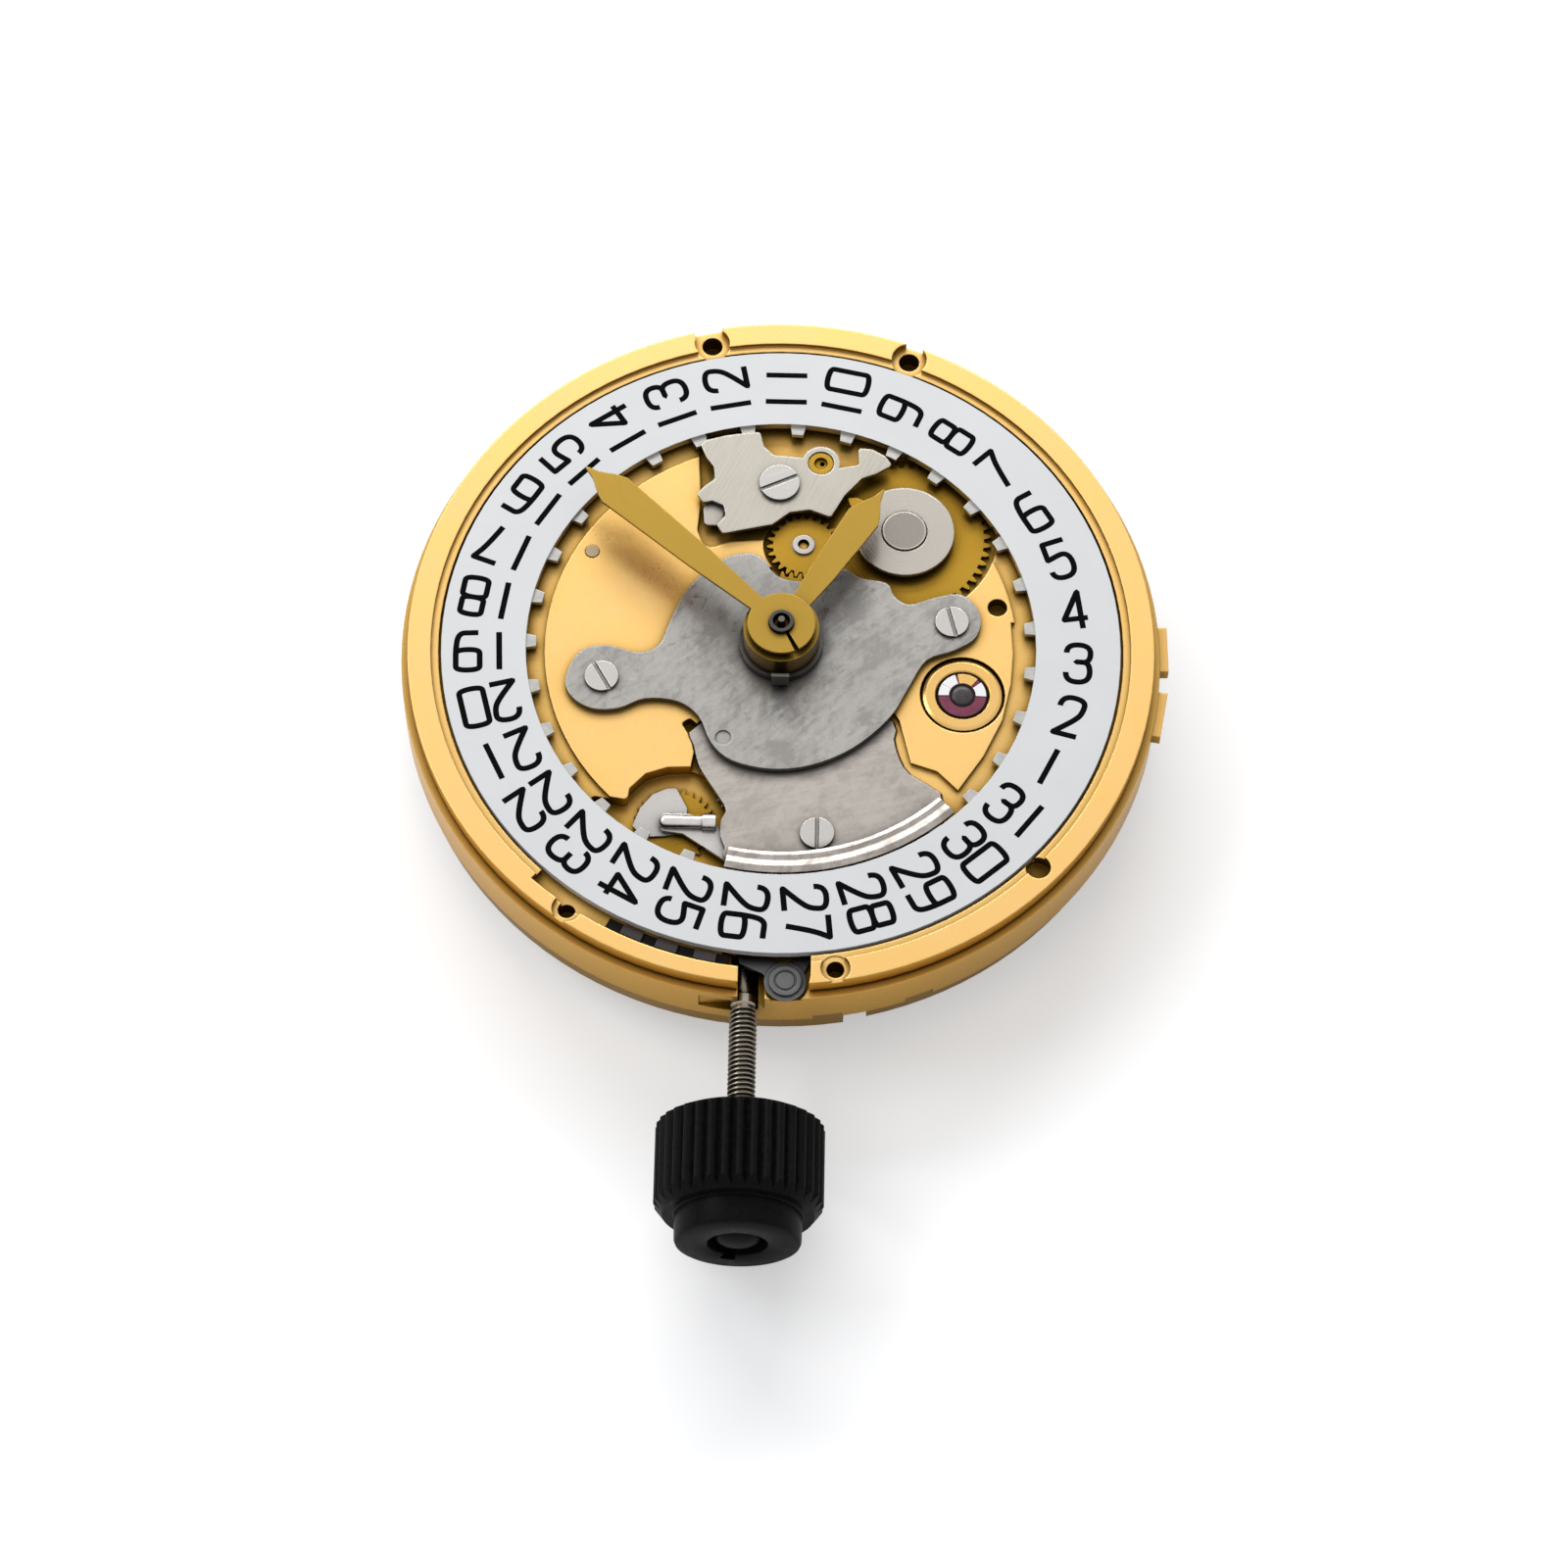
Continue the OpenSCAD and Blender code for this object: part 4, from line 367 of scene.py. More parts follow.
@dataclass(frozen=True)
class Metal(Finish):
    """Worked metal with painted edge highlights and painted shade on walls and in hollows."""

    grain: Grain
    roughness: float = 0.3
    spread: float = 0.05
    contrast: float = 0.5
    depth: float = 0.001
    edge: float = 0.04
    turn: float = 0.0
    centre: Point = (0.0, 0.0)
    # Strength of the painted highlight on the sharp edges of level faces.
    gleam: float = 0.35
    # Strength of the painted shade in corners and crevices.
    grime: float = 0.9
    # How far upright walls go towards painted shade, and how dark that painted shade is.
    wall: float = 0.7
    wall_tone: float = 0.3
    # Reach and span of the painted shade in corners.
    reach: float = 0.6
    corner: Point = (0.12, 0.75)
    # Reach, span and colour of a wider painted shadow near things that stand close over the
    # surface.
    far_reach: float = 2.6
    far_corner: Point = (0.1, 0.62)
    deep: Optional[Colour] = None
    core: float = 0.0
    core_colour: Colour = (0.60, 0.58, 0.55)
    cloudy: float = 0.25
    scratched: float = 0.2

    def pattern(self, tree: Tree) -> Wire:
        """Returns the grain of the finish.

        Args:
            tree: Tree of the material.

        Returns:
            Height of the grain between 0 and 1.
        """
        place = tree.place(self.centre, self.turn)
        x, y, z = tree.split(place)
        if self.grain is Grain.LINEAR:
            return tree.noise(tree.join(x * 0.5, y * 14.0, z * 14.0), 1.6, 4.0, 0.6)
        if self.grain is Grain.CIRCULAR:
            rings = tree.join(tree.radius(x, y) * 16.0, y.angle(x) * 1.2, z * 16.0)
            return tree.noise(rings, 1.4, 4.0, 0.6)
        if self.grain is Grain.MOTTLED:
            streaks = tree.noise(tree.join(x * 0.6, y * 3.0, z), 1.6, 5.0, 0.65)
            crossed = tree.noise(tree.join((x - y) * 2.2, (y + x) * 0.6, z), 1.1, 5.0, 0.65)
            marks = tree.patches(place, 2.2, 4.0)
            clouds = tree.noise(place, 0.5, 4.0, 0.6)
            return (streaks * 0.3 + crossed * 0.2 + marks * 0.2 + clouds * 0.3).span(0.34, 0.66)
        if self.grain is Grain.STRIPED:
            bands = (x * 2.1).wave() * 0.5 + 0.5
            return bands * 0.5 + tree.noise(tree.join(x, y * 14.0, z), 1.6, 4.0, 0.6) * 0.5
        if self.grain is Grain.POLISHED:
            return tree.noise(place, 3.0, 2.0, 0.4)
        return tree.noise(place, 14.0, 3.0, 0.6)

    def worked(self, tree: Tree, grain: Wire, tone: Wire) -> Wire:
        """Returns the colour of the open surface, with its core where it has one.

        Args:
            tree: Tree of the material.
            grain: Grain of the finish.
            tone: How far the colour goes towards the shade.

        Returns:
            The colour.
        """
        colour = tree.blend(tone.span(0.0, 1.0), self.colour, self.shade)
        if not self.core:
            return colour
        x, y, _ = tree.split(tree.place(self.centre))
        inner = 1.0 - tree.radius(x, y).over(self.core)
        middle = tree.blend(grain, self.core_colour, dimmed(self.core_colour, 0.65))
        return tree.blend(inner, colour, middle)

    def paint(self, tree: Tree) -> None:
        """Builds the metal's nodes.

        Args:
            tree: Tree of the material.
        """
        place, grain = tree.place(), self.pattern(tree)
        clouds = tree.noise(place, 0.45, 3.0, 0.5)
        scratches = tree.hairlines(place, 24.0).larger(tree.hairlines(place, 107.0))
        tone = (grain.spread() * self.contrast + clouds.spread() * self.cloudy
                + scratches * self.scratched)
        colour, upright = self.worked(tree, grain, tone), tree.upright()
        # Painted highlight: a lighter colour on the brink of sharp edges of level faces.
        painted_highlight = tuple(min(1.0, 1.3 * part + 0.05) for part in self.colour)
        colour = tree.blend(tree.brink(self.edge) * (1.0 - upright) * self.gleam, colour, painted_highlight)
        # Painted shade: upright walls are darkened towards the shade colour.
        colour = tree.blend(upright * self.wall, colour, dimmed(self.shade, self.wall_tone))
        # Painted shade: corners and crevices within the reach are darkened almost to black.
        corner = tree.crevice(self.reach).span(*self.corner) * self.grime
        # Painted shadow: a wider darkening towards a deep colour near things that stand over the
        # surface.
        colour = tree.blend(tree.crevice(self.far_reach).span(*self.far_corner), colour,
                            self.deep or dimmed(self.shade, 0.55))
        tree.surface("Base Color", tree.blend(corner, colour, dimmed(self.shade, 0.1)))
        tree.surface("Metallic", 1.0)
        dull = grain.spread(self.roughness - self.spread, self.roughness + self.spread)
        tree.surface("Roughness", dull + (clouds - 0.5) * 0.08 + corner * 0.2)
        tree.relief(grain, self.depth, self.edge)


@dataclass(frozen=True)
class Lacquer(Finish):
    """Painted surface with a faint orange skin."""

    roughness: float = 0.4
    depth: float = 0.002
    edge: float = 0.0
    gloss: float = 0.5

    def paint(self, tree: Tree) -> None:
        """Builds the lacquer's nodes.

        Args:
            tree: Tree of the material.
        """
        skin = tree.noise(tree.place(), 5.0, 3.0, 0.5)
        dust = tree.noise(tree.place(), 22.0, 2.0, 0.5).span(0.64, 0.74)
        tree.surface("Base Color", tree.blend(skin.spread() * 0.8 + dust * 0.2, self.colour,
                                              self.shade))
        tree.surface("Roughness", skin.spread(self.roughness - 0.06, self.roughness + 0.08))
        tree.surface("Specular IOR Level", self.gloss)
        tree.relief(skin, self.depth, self.edge)


@dataclass(frozen=True)
class RingPaint(Finish):
    """Painted face of the date ring with bare steel, its shade, on the inner teeth."""

    face_radius: float

    def paint(self, tree: Tree) -> None:
        """Builds the nodes of paint and steel.

        Args:
            tree: Tree of the material.
        """
        place = tree.place()
        x, y, _ = tree.split(place)
        bare = 1.0 - tree.radius(x, y).over(self.face_radius)
        skin = tree.noise(place, 4.0, 3.0, 0.5)
        soft = tree.noise(place, 0.35, 2.0, 0.5)
        paint = tree.blend(soft.spread() * 0.6 + skin * 0.2, self.colour,
                           dimmed(self.colour, 0.94))
        tree.surface("Base Color", tree.blend(bare, paint, self.shade))
        tree.surface("Metallic", bare)
        tree.surface("Roughness", skin.spread(0.36, 0.46) - bare * 0.1)
        tree.relief(skin, 0.003, 0.03)


@dataclass(frozen=True)
class Jewel(Finish):
    """Polished synthetic ruby."""

    coat: float = 1.0

    def paint(self, tree: Tree) -> None:
        """Builds the jewel's nodes.

        Args:
            tree: Tree of the material.
        """
        veil = tree.noise(tree.place(), 3.0, 2.0, 0.5)
        tree.surface("Base Color", tree.blend(veil.spread(), self.colour, self.shade))
        tree.surface("Roughness", veil.spread(0.05, 0.12))
        tree.surface("Coat Weight", self.coat)
        tree.surface("IOR", 1.3 + 0.46 * self.coat)
        tree.relief(veil, 0.001, 0.02)


GOLD: Colour = (0.84, 0.545, 0.22)
GOLD_SHADE: Colour = (0.72, 0.40, 0.055)
# Colour of the painted shadow on gold.
GOLD_PAINTED_SHADOW: Colour = (0.46, 0.25, 0.02)
BRIGHT: Colour = (0.66, 0.64, 0.61)
BRIGHT_SHADE: Colour = (0.42, 0.40, 0.38)

TURNED_BRASS = Metal(
    "turned_brass", "wheel_brass", (0.48, 0.285, 0.036), (0.31, 0.165, 0.017), Grain.CIRCULAR)
FROSTED_BRASS = replace(
    TURNED_BRASS, name="frosted_brass", grain=Grain.FROSTED, contrast=0.4, edge=0.03)
POLISHED_STEEL = Metal(
    "polished_steel", "steel_bright", BRIGHT, BRIGHT_SHADE, Grain.POLISHED, roughness=0.18,
    contrast=0.3)


# making pieces


def dress(finish: Finish, *nodes: str) -> None:
    """Gives CAD nodes their finish.

    Args:
        finish: Finish of all their faces.
        nodes: Names of the nodes.
    """
    for node in nodes:
        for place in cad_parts[node].material_slots:
            place.material = finish.material()
        log.info("dressed %s", node)


def piece(name: str, shape: bmesh.types.BMesh, finish: Finish, body: str = "frame",
          replaced: Sequence[str] = (), smooth: bool = False, merge: float = WELD) -> None:
    """Makes an object of a shape that is drawn in millimetres.

    Args:
        name: Name of the piece.
        shape: Shape, which is freed.
        finish: Its finish.
        body: Body that it moves with.
        replaced: CAD nodes that it stands for.
        smooth: Whether its faces are shaded smooth, apart from sharp edges.
        merge: Distance within which points become one, in millimetres.
    """
    bmesh.ops.remove_doubles(shape, verts=shape.verts, dist=merge)
    bmesh.ops.recalc_face_normals(shape, faces=shape.faces)
    bmesh.ops.scale(shape, vec=(MM, MM, MM), verts=shape.verts)
    mesh = bpy.data.meshes.new(name)
    shape.to_mesh(mesh)
    shape.free()
    mesh.materials.append(finish.material())
    if smooth:
        mesh.shade_smooth()
        mesh.set_sharp_from_angle(angle=math.radians(SHARP_ANGLE))
    made = bpy.data.objects.new(name, mesh)
    bpy.context.scene.collection.objects.link(made)
    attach(made, body)
    for node in replaced:
        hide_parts(node)
    log.info("made %s with %d faces", name, len(mesh.polygons))


def spin(shape: bmesh.types.BMesh, geom: Sequence[Any], angle: float, steps: int,
         rise: float = 0.0, full: bool = False) -> list[Any]:
    """Spins a part of a shape about Z.

    Args:
        shape: Shape that holds the part.
        geom: Points, edges and faces of the part.
        angle: Angle of the whole spin.
        steps: Number of steps.
        rise: Rise of each step.
        full: Whether the last step meets the first.

    Returns:
        What the spin ends in.
    """
    made = bmesh.ops.spin(shape, geom=geom, cent=(0, 0, 0), axis=(0, 0, 1), dvec=(0, 0, rise),
                          angle=angle, steps=steps, use_merge=full)
    return made["geom_last"]


def outline(shape: bmesh.types.BMesh, profile: Sequence[Point]) -> list[Any]:
    """Adds a line of points to a shape.

    Args:
        shape: Shape that takes the line.
        profile: Radius and height of each point, in millimetres.

    Returns:
        The new points and then the edges between them.
    """
    points = [shape.verts.new((radius, 0.0, height)) for radius, height in profile]
    return points + [shape.edges.new(pair) for pair in zip(points, points[1:])]


def lathe(profile: Sequence[Point], steps: int) -> bmesh.types.BMesh:
    """Returns a profile turned about Z.

    Args:
        profile: Radius and height of each point, in millimetres.
        steps: Faces round the axis.

    Returns:
        The new shape.
    """
    shape = bmesh.new()
    spin(shape, outline(shape, profile), FULL_TURN, steps, full=True)
    bmesh.ops.remove_doubles(shape, verts=shape.verts, dist=WELD)
    return shape


def bent_block(shape: bmesh.types.BMesh, radii: Point, heights: Point, start: float, end: float,
               steps: int) -> None:
    """Adds a flat block that is bent about Z.

    Args:
        shape: Shape that takes the block.
        radii: Inner and outer radius in millimetres.
        heights: Height of the lower and the upper face.
        start: Direction of its first end, in degrees.
        end: Direction of its other end, in degrees.
        steps: Faces along it.
    """
    turn = math.radians(start)
    (near, far), (low, high) = radii, heights
    face = shape.faces.new([
        shape.verts.new((radius * math.cos(turn), radius * math.sin(turn), height))
        for radius, height in ((near, low), (far, low), (far, high), (near, high))])
    spin(shape, [face, *face.edges, *face.verts], math.radians(end - start), steps)


def moved(shape: bmesh.types.BMesh, matrix: Matrix) -> bmesh.types.BMesh:
    """Returns the shape after a move in millimetres."""
    bmesh.ops.transform(shape, matrix=matrix, verts=shape.verts)
    return shape


# sub-assemblies


@dataclass
class MainPlate:
    """Gilded main plate and what is screwed flat to its dial side."""

    gilt: Metal = Metal(
        "gilt_plate", "plate_gold", GOLD, GOLD_SHADE, Grain.FROSTED, spread=0.03, contrast=0.16,
        depth=0.0006, edge=0.07, wall=1.0, wall_tone=0.95, reach=1.0, corner=(0.1, 0.62),
        deep=GOLD_PAINTED_SHADOW)
    grey: Metal = Metal(
        "grey_steel", "steel_grey", (0.43, 0.415, 0.39), (0.215, 0.207, 0.196), Grain.MOTTLED,
        roughness=0.34, spread=0.08, contrast=0.9, depth=0.003, edge=0.08, turn=40.0, gleam=0.6)
    light: Metal = Metal(
        "light_steel", "steel_light", (0.56, 0.52, 0.46), (0.32, 0.30, 0.26), Grain.LINEAR,
        spread=0.06, contrast=0.8, depth=0.002, edge=0.08, turn=65.0, gleam=0.6)
    cover: Metal = Metal(
        "cover_steel", "steel_light", (0.48, 0.44, 0.405), (0.27, 0.245, 0.22), Grain.MOTTLED,
        roughness=0.34, spread=0.06, contrast=0.8, edge=0.06, turn=15.0, gleam=0.5)
    screw: Metal = Metal(
        "screw_steel", "steel_bright", (0.60, 0.58, 0.55), BRIGHT_SHADE, Grain.LINEAR,
        roughness=0.24, contrast=0.4, edge=0.05, turn=20.0, gleam=0.6, grime=1.0, reach=0.4,
        corner=(0.05, 0.38))
    pin: Metal = Metal(
        "pin_brass", "steel_bright", (0.46, 0.36, 0.24), (0.30, 0.22, 0.13), Grain.CIRCULAR,
        centre=(-6.61, 3.66), reach=0.3)
    # Black lacquer of painted shade for the strip in the deep gap beside the stem.
    gap: Lacquer = Lacquer(
        "painted_gap_shade", "steel_dark", (0.006, 0.005, 0.004), (0.012, 0.009, 0.007), roughness=0.6,
        gloss=0.1)
    lug: Metal = Metal(
        "lug_steel", "steel_dark", (0.10, 0.09, 0.088), (0.05, 0.045, 0.043), Grain.LINEAR,
        edge=0.02)
    gap_floor: float = -0.405
    strip_radii: Point = (11.72, 12.2)
    strip_ends: Point = (242.0, 262.5)
    strip_height: float = 0.012
    lug_radii: Point = (11.74, 12.08)
    lug_starts: tuple[float, ...] = (244.6, 250.6, 257.0)
    lug_length: float = 3.6
    lug_height: float = 0.09

    def stem_gap(self) -> None:
        """Makes a black strip of painted shade under the ring's edge beside the stem, and the lugs
        in it.
        """
        strip, lugs = bmesh.new(), bmesh.new()
        top = self.gap_floor + self.strip_height
        start, end = self.strip_ends
        bent_block(strip, self.strip_radii, (self.gap_floor, top), start, end,
                   round(end - start))
        for start in self.lug_starts:
            bent_block(lugs, self.lug_radii, (top, self.gap_floor + self.lug_height), start,
                       start + self.lug_length, round(self.lug_length))
        piece("painted_gap_shade_strip", strip, self.gap)
        piece("gap_lugs", lugs, self.lug)

    def build(self) -> None:
        """Dresses the plate, the flat covers and their screws."""
        dress(self.gilt, "main_plate")
        dress(self.grey, "maintaining_plate")
        dress(self.light, "calendar_plate")
        dress(self.cover, "keyless_cover")
        dress(self.screw, "dial_side_screws", "bridge_screws")
        dress(self.pin, "steady_pins")
        self.stem_gap()


class Stroke(Enum):
    """Whether a stroke of a numeral is open or a closed loop."""

    OPEN = "open"
    LOOP = "loop"


STROKES: dict[str, list[tuple[Stroke, list[Point]]]] = {
    "0": [(Stroke.LOOP, [(-1, 0.6), (-1, 1), (1, 1), (1, 0.6), (1, -0.6), (1, -1), (-1, -1),
                         (-1, -0.6)])],
    "1": [(Stroke.OPEN, [(0, 1), (0, 0), (0, -1)])],
    "2": [(Stroke.OPEN, [(-1, 0.45), (-1, 1), (1, 1), (1, 0.35), (0.6, -0.1), (-1, -1), (-1, -1),
                         (0, -1), (1, -1)])],
    "3": [(Stroke.OPEN, [(-1, 0.55), (-1, 1), (1, 1), (1, 0.08), (-0.2, 0.08), (-0.2, 0.08),
                         (1, 0.08), (1, -1), (-1, -1), (-1, -0.5)])],
    "4": [(Stroke.OPEN, [(0.45, -1), (0.45, 0), (0.45, 1), (0.45, 1), (-1, -0.45), (-1, -0.45),
                         (0, -0.45), (1, -0.45)])],
    "5": [(Stroke.OPEN, [(0.95, 1), (0, 1), (-0.9, 1), (-0.9, 1), (-0.95, 0.1), (-0.95, 0.1),
                         (1, 0.35), (1, -1), (-1, -1), (-1, -0.55)])],
    "6": [(Stroke.LOOP, [(-1, -0.3), (-1, 0.1), (1, 0.1), (1, -0.3), (1, -0.6), (1, -1),
                         (-1, -1), (-1, -0.6)]),
          (Stroke.OPEN, [(-1, -0.45), (-1, 0.3), (-0.7, 1), (0.3, 1), (0.9, 1)])],
    "7": [(Stroke.OPEN, [(-1, 1), (0, 1), (1, 1), (1, 1), (0.3, 0.2), (-0.25, -1)])],
    "8": [(Stroke.LOOP, [(-0.9, 0.4), (-0.9, 0.06), (0.9, 0.06), (0.9, 0.4), (0.9, 0.65),
                         (0.9, 1), (-0.9, 1), (-0.9, 0.65)]),
          (Stroke.LOOP, [(-1, -0.35), (-1, 0.06), (1, 0.06), (1, -0.35), (1, -0.6), (1, -1),
                         (-1, -1), (-1, -0.6)])],
    "9": [(Stroke.LOOP, [(-1, 0.3), (-1, -0.1), (1, -0.1), (1, 0.3), (1, 0.6), (1, 1), (-1, 1),
                         (-1, 0.6)]),
          (Stroke.OPEN, [(1, 0.45), (1, -0.3), (0.7, -1), (-0.3, -1), (-0.9, -1)])],
}


@dataclass
class DateWork:
    """Date ring with its printed numerals, the date wheels and the jumper."""

    days: int = 31
    top_day: int = 11
    face_height: float = -0.08
    print_flatness: float = 0.07
    numeral_width: float = 0.82
    numeral_height: float = 1.44
    stroke_radius: float = 0.1
    middle_radius: float = 10.2
    tens_radius: float = 9.66
    units_radius: float = 10.74
    paint: RingPaint = RingPaint(
        "ring_white", "date_white", (0.86, 0.87, 0.88), (0.42, 0.41, 0.39), 8.76)
    ink: Lacquer = Lacquer(
        "numeral_black", "date_white", (0.003, 0.003, 0.003), (0.006, 0.006, 0.006), roughness=0.7,
        gloss=0.02)
    brass: Metal = replace(TURNED_BRASS, name="date_brass", centre=(4.2, 4.6))
    small_brass: Metal = replace(
        FROSTED_BRASS, name="small_brass", edge=0.04, centre=(0.71, 4.09), core=0.42)
    key_brass: Metal = replace(
        TURNED_BRASS, name="eccentric_brass", contrast=0.4, centre=(1.26, 7.17))
    cap: Metal = Metal(
        "cap_steel", "steel_light", (0.52, 0.48, 0.43), (0.34, 0.31, 0.28), Grain.CIRCULAR,
        roughness=0.28, contrast=0.6, depth=0.002, edge=0.08, centre=(4.2, 4.6), gleam=0.7,
        core=0.7, core_colour=(0.34, 0.31, 0.28))

    def numerals(self) -> bmesh.types.BMesh:
        """Draws the numerals.

        Returns:
            Flat printed strokes on the ring's face.
        """
        curve = bpy.data.curves.new("numeral_strokes", "CURVE")
        curve.dimensions = "3D"
        curve.bevel_depth = self.stroke_radius
        curve.bevel_resolution = 2
        curve.resolution_u = 6
        curve.use_fill_caps = True
        for day in range(1, self.days + 1):
            angle = math.radians(90 + (day - self.top_day) * 360 / self.days)
            digits = str(day)
            radii = (self.middle_radius,)
            if len(digits) == 2:
                radii = (self.tens_radius, self.units_radius)
            for digit, radius in zip(digits, radii):
                for kind, points in STROKES[digit]:
                    self.add_stroke(curve, kind, points, radius, angle)
        holder = bpy.data.objects.new("numeral_strokes", curve)
        shape = bmesh.new()
        shape.from_mesh(holder.to_mesh())
        holder.to_mesh_clear()
        bpy.data.objects.remove(holder)
        bmesh.ops.scale(shape, vec=(1, 1, self.print_flatness), verts=shape.verts)
        bmesh.ops.translate(shape, vec=(0, 0, self.face_height + 0.003), verts=shape.verts)
        return shape

    def add_stroke(self, curve: bpy.types.Curve, kind: Stroke, points: Sequence[Point],
                   radius: float, angle: float) -> None:
        """Adds one stroke of a numeral that stands outwards from the centre.

        Args:
            curve: Curve that takes the stroke.
            kind: Open stroke or closed loop.
            points: Points of the stroke, from -1 to 1 across the numeral.
            radius: Distance of the numeral from the hands' axis.
            angle: Direction of the numeral.
        """
        spline = curve.splines.new("NURBS")
        spline.points.add(len(points) - 1)
        for point, (across, up) in zip(spline.points, points):
            x = radius + across * self.numeral_width / 2
            y = up * self.numeral_height / 2
            point.co = (x * math.cos(angle) - y * math.sin(angle),
                        x * math.sin(angle) + y * math.cos(angle), 0.0, 1.0)
        spline.order_u = 3
        spline.use_cyclic_u = kind is Stroke.LOOP
        spline.use_endpoint_u = kind is Stroke.OPEN

    def build(self) -> None:
        """Dresses the date work and prints the numerals."""
        dress(self.paint, "date_ring")
        piece("date_numerals", self.numerals(), self.ink, "date_ring", smooth=True,
              merge=0.00001)
        dress(self.brass, "date_driving_wheel")
        dress(self.cap, "date_wheel_cap", "date_jumper")
        dress(self.small_brass, "intermediate_date_wheel")
        dress(self.key_brass, "jumper_eccentric")


@dataclass
class MotionWork:
    """Wheels under the hands and the hands themselves."""

    brass: Metal = replace(TURNED_BRASS, name="motion_brass")
    hour: Metal = Metal(
        "hour_gold", "hand_gold", (0.385, 0.245, 0.046), (0.26, 0.155, 0.025), Grain.LINEAR,
        roughness=0.34, contrast=0.35, edge=0.05, turn=58.0)
    minute_turn: float = 139.0
    dark: Metal = Metal(
        "dark_steel", "steel_dark", (0.10, 0.10, 0.10), (0.04, 0.04, 0.045), Grain.CIRCULAR,
        roughness=0.25)
    washer: Metal = Metal(
        "washer_steel", "steel_grey", (0.22, 0.20, 0.18), (0.12, 0.11, 0.10), Grain.CIRCULAR)

    def build(self) -> None:
        """Dresses the wheels and the hands."""
        dress(self.brass, "hour_wheel", "minute_wheel")
        dress(self.hour, "hour_hand")
        dress(replace(self.hour, name="minute_gold", turn=self.minute_turn), "minute_hand")
        dress(self.dark, "cannon_pinion")
        dress(self.washer, "dial_washer")


@dataclass
class ShockSetting:
    """Sprung jewel settings of the balance."""

    block: Metal = Metal(
        "setting_gilt", "bridge_gold", GOLD, GOLD_SHADE, Grain.CIRCULAR, roughness=0.22,
        contrast=0.3, centre=(6.24, -1.65))
    spring: Metal = replace(
        POLISHED_STEEL, name="spring_steel", roughness=0.12, spread=0.03, contrast=0.2,
        depth=0.0005)
    mirror: Metal = replace(
        spring, name="tab_steel", colour=(0.93, 0.93, 0.93), shade=(0.80, 0.80, 0.80),
        roughness=0.14, edge=0.02, gleam=0.0, grime=0.3)
    ruby: Jewel = Jewel("ruby", "ruby", (0.20, 0.006, 0.035), (0.34, 0.012, 0.07))
    glass: Jewel = Jewel("ruby_dome", "ruby", (0.19, 0.018, 0.055), (0.27, 0.035, 0.09), 0.3)
    stone: Lacquer = Lacquer(
        "endstone_grey", "steel_dark", (0.045, 0.036, 0.038), (0.075, 0.062, 0.064), roughness=0.3,
        edge=0.02, gloss=0.3)
    # Black lacquer of painted shade for thin dark rings where the setting's openings lie in shade.
    shadow: Lacquer = Lacquer(
        "setting_painted_shade", "steel_dark", (0.006, 0.005, 0.005), (0.012, 0.01, 0.01), roughness=0.5,
        gloss=0.1)
    centre: Point = (6.24, -1.65)
    seat: float = -0.49
    tab_radii: Point = (0.46, 0.82)
    tabs: tuple[Point, ...] = ((128.0, 20.0), (165.0, 16.0), (18.0, 20.0))
    gilt_tabs: tuple[Point, ...] = ((76.0, 26.0),)

    def turned(self, profile: Sequence[Point], steps: int) -> bmesh.types.BMesh:
        """Returns a profile, with heights over the seat, turned about the balance's axis."""
        axis = Matrix.Translation((*self.centre, self.seat))
        return moved(lathe(profile, steps), axis)

    def fan(self, tabs: Sequence[Point]) -> bmesh.types.BMesh:
        """Returns the flat tabs of the setting's spring.

        Args:
            tabs: Direction and half width of each tab, in degrees.

        Returns:
            The shape of all tabs.
        """
        shape = bmesh.new()
        for direction, half in tabs:
            bent_block(shape, self.tab_radii, (0.035, 0.06), direction - half,
                       direction + half, 8)
        return moved(shape, Matrix.Translation((*self.centre, self.seat)))

    def build(self) -> None:
        """Dresses the blocks and jewels, and makes the domed jewel with the spring's tabs."""
        dress(self.block, "shock_blocks")
        dress(self.spring, "shock_spring")
        dress(self.ruby, "cap_jewels", "train_jewels")
        dome = self.turned([(0.0, 0.0), (0.85, 0.0), (0.85, 0.02), (0.80, 0.035), (0.6, 0.03),
                            (0.44, 0.03), (0.0, 0.03)], 64)
        stone = self.turned([(0.0, 0.03), (0.36, 0.03), (0.36, 0.05), (0.31, 0.085),
                             (0.18, 0.1), (0.0, 0.105)], 48)
        collar = self.turned([(0.37, 0.03), (0.44, 0.03), (0.44, 0.045), (0.37, 0.045),
                              (0.37, 0.03)], 48)
        rim = self.turned([(0.82, 0.036), (0.862, 0.036), (0.862, 0.065), (0.82, 0.065),
                           (0.82, 0.036)], 64)
        piece("jewel_dome", dome, self.glass, smooth=True)
        piece("end_stone", stone, self.stone, smooth=True)
        # Dark rings of painted shade round the end stone and the jewel's opening.
        piece("stone_shade_ring", collar, self.shadow, smooth=True)
        piece("jewel_shade_ring", rim, self.shadow, smooth=True)
        piece("spring_tabs", self.fan(self.tabs), self.mirror)
        piece("gilt_tab", self.fan(self.gilt_tabs), self.block)


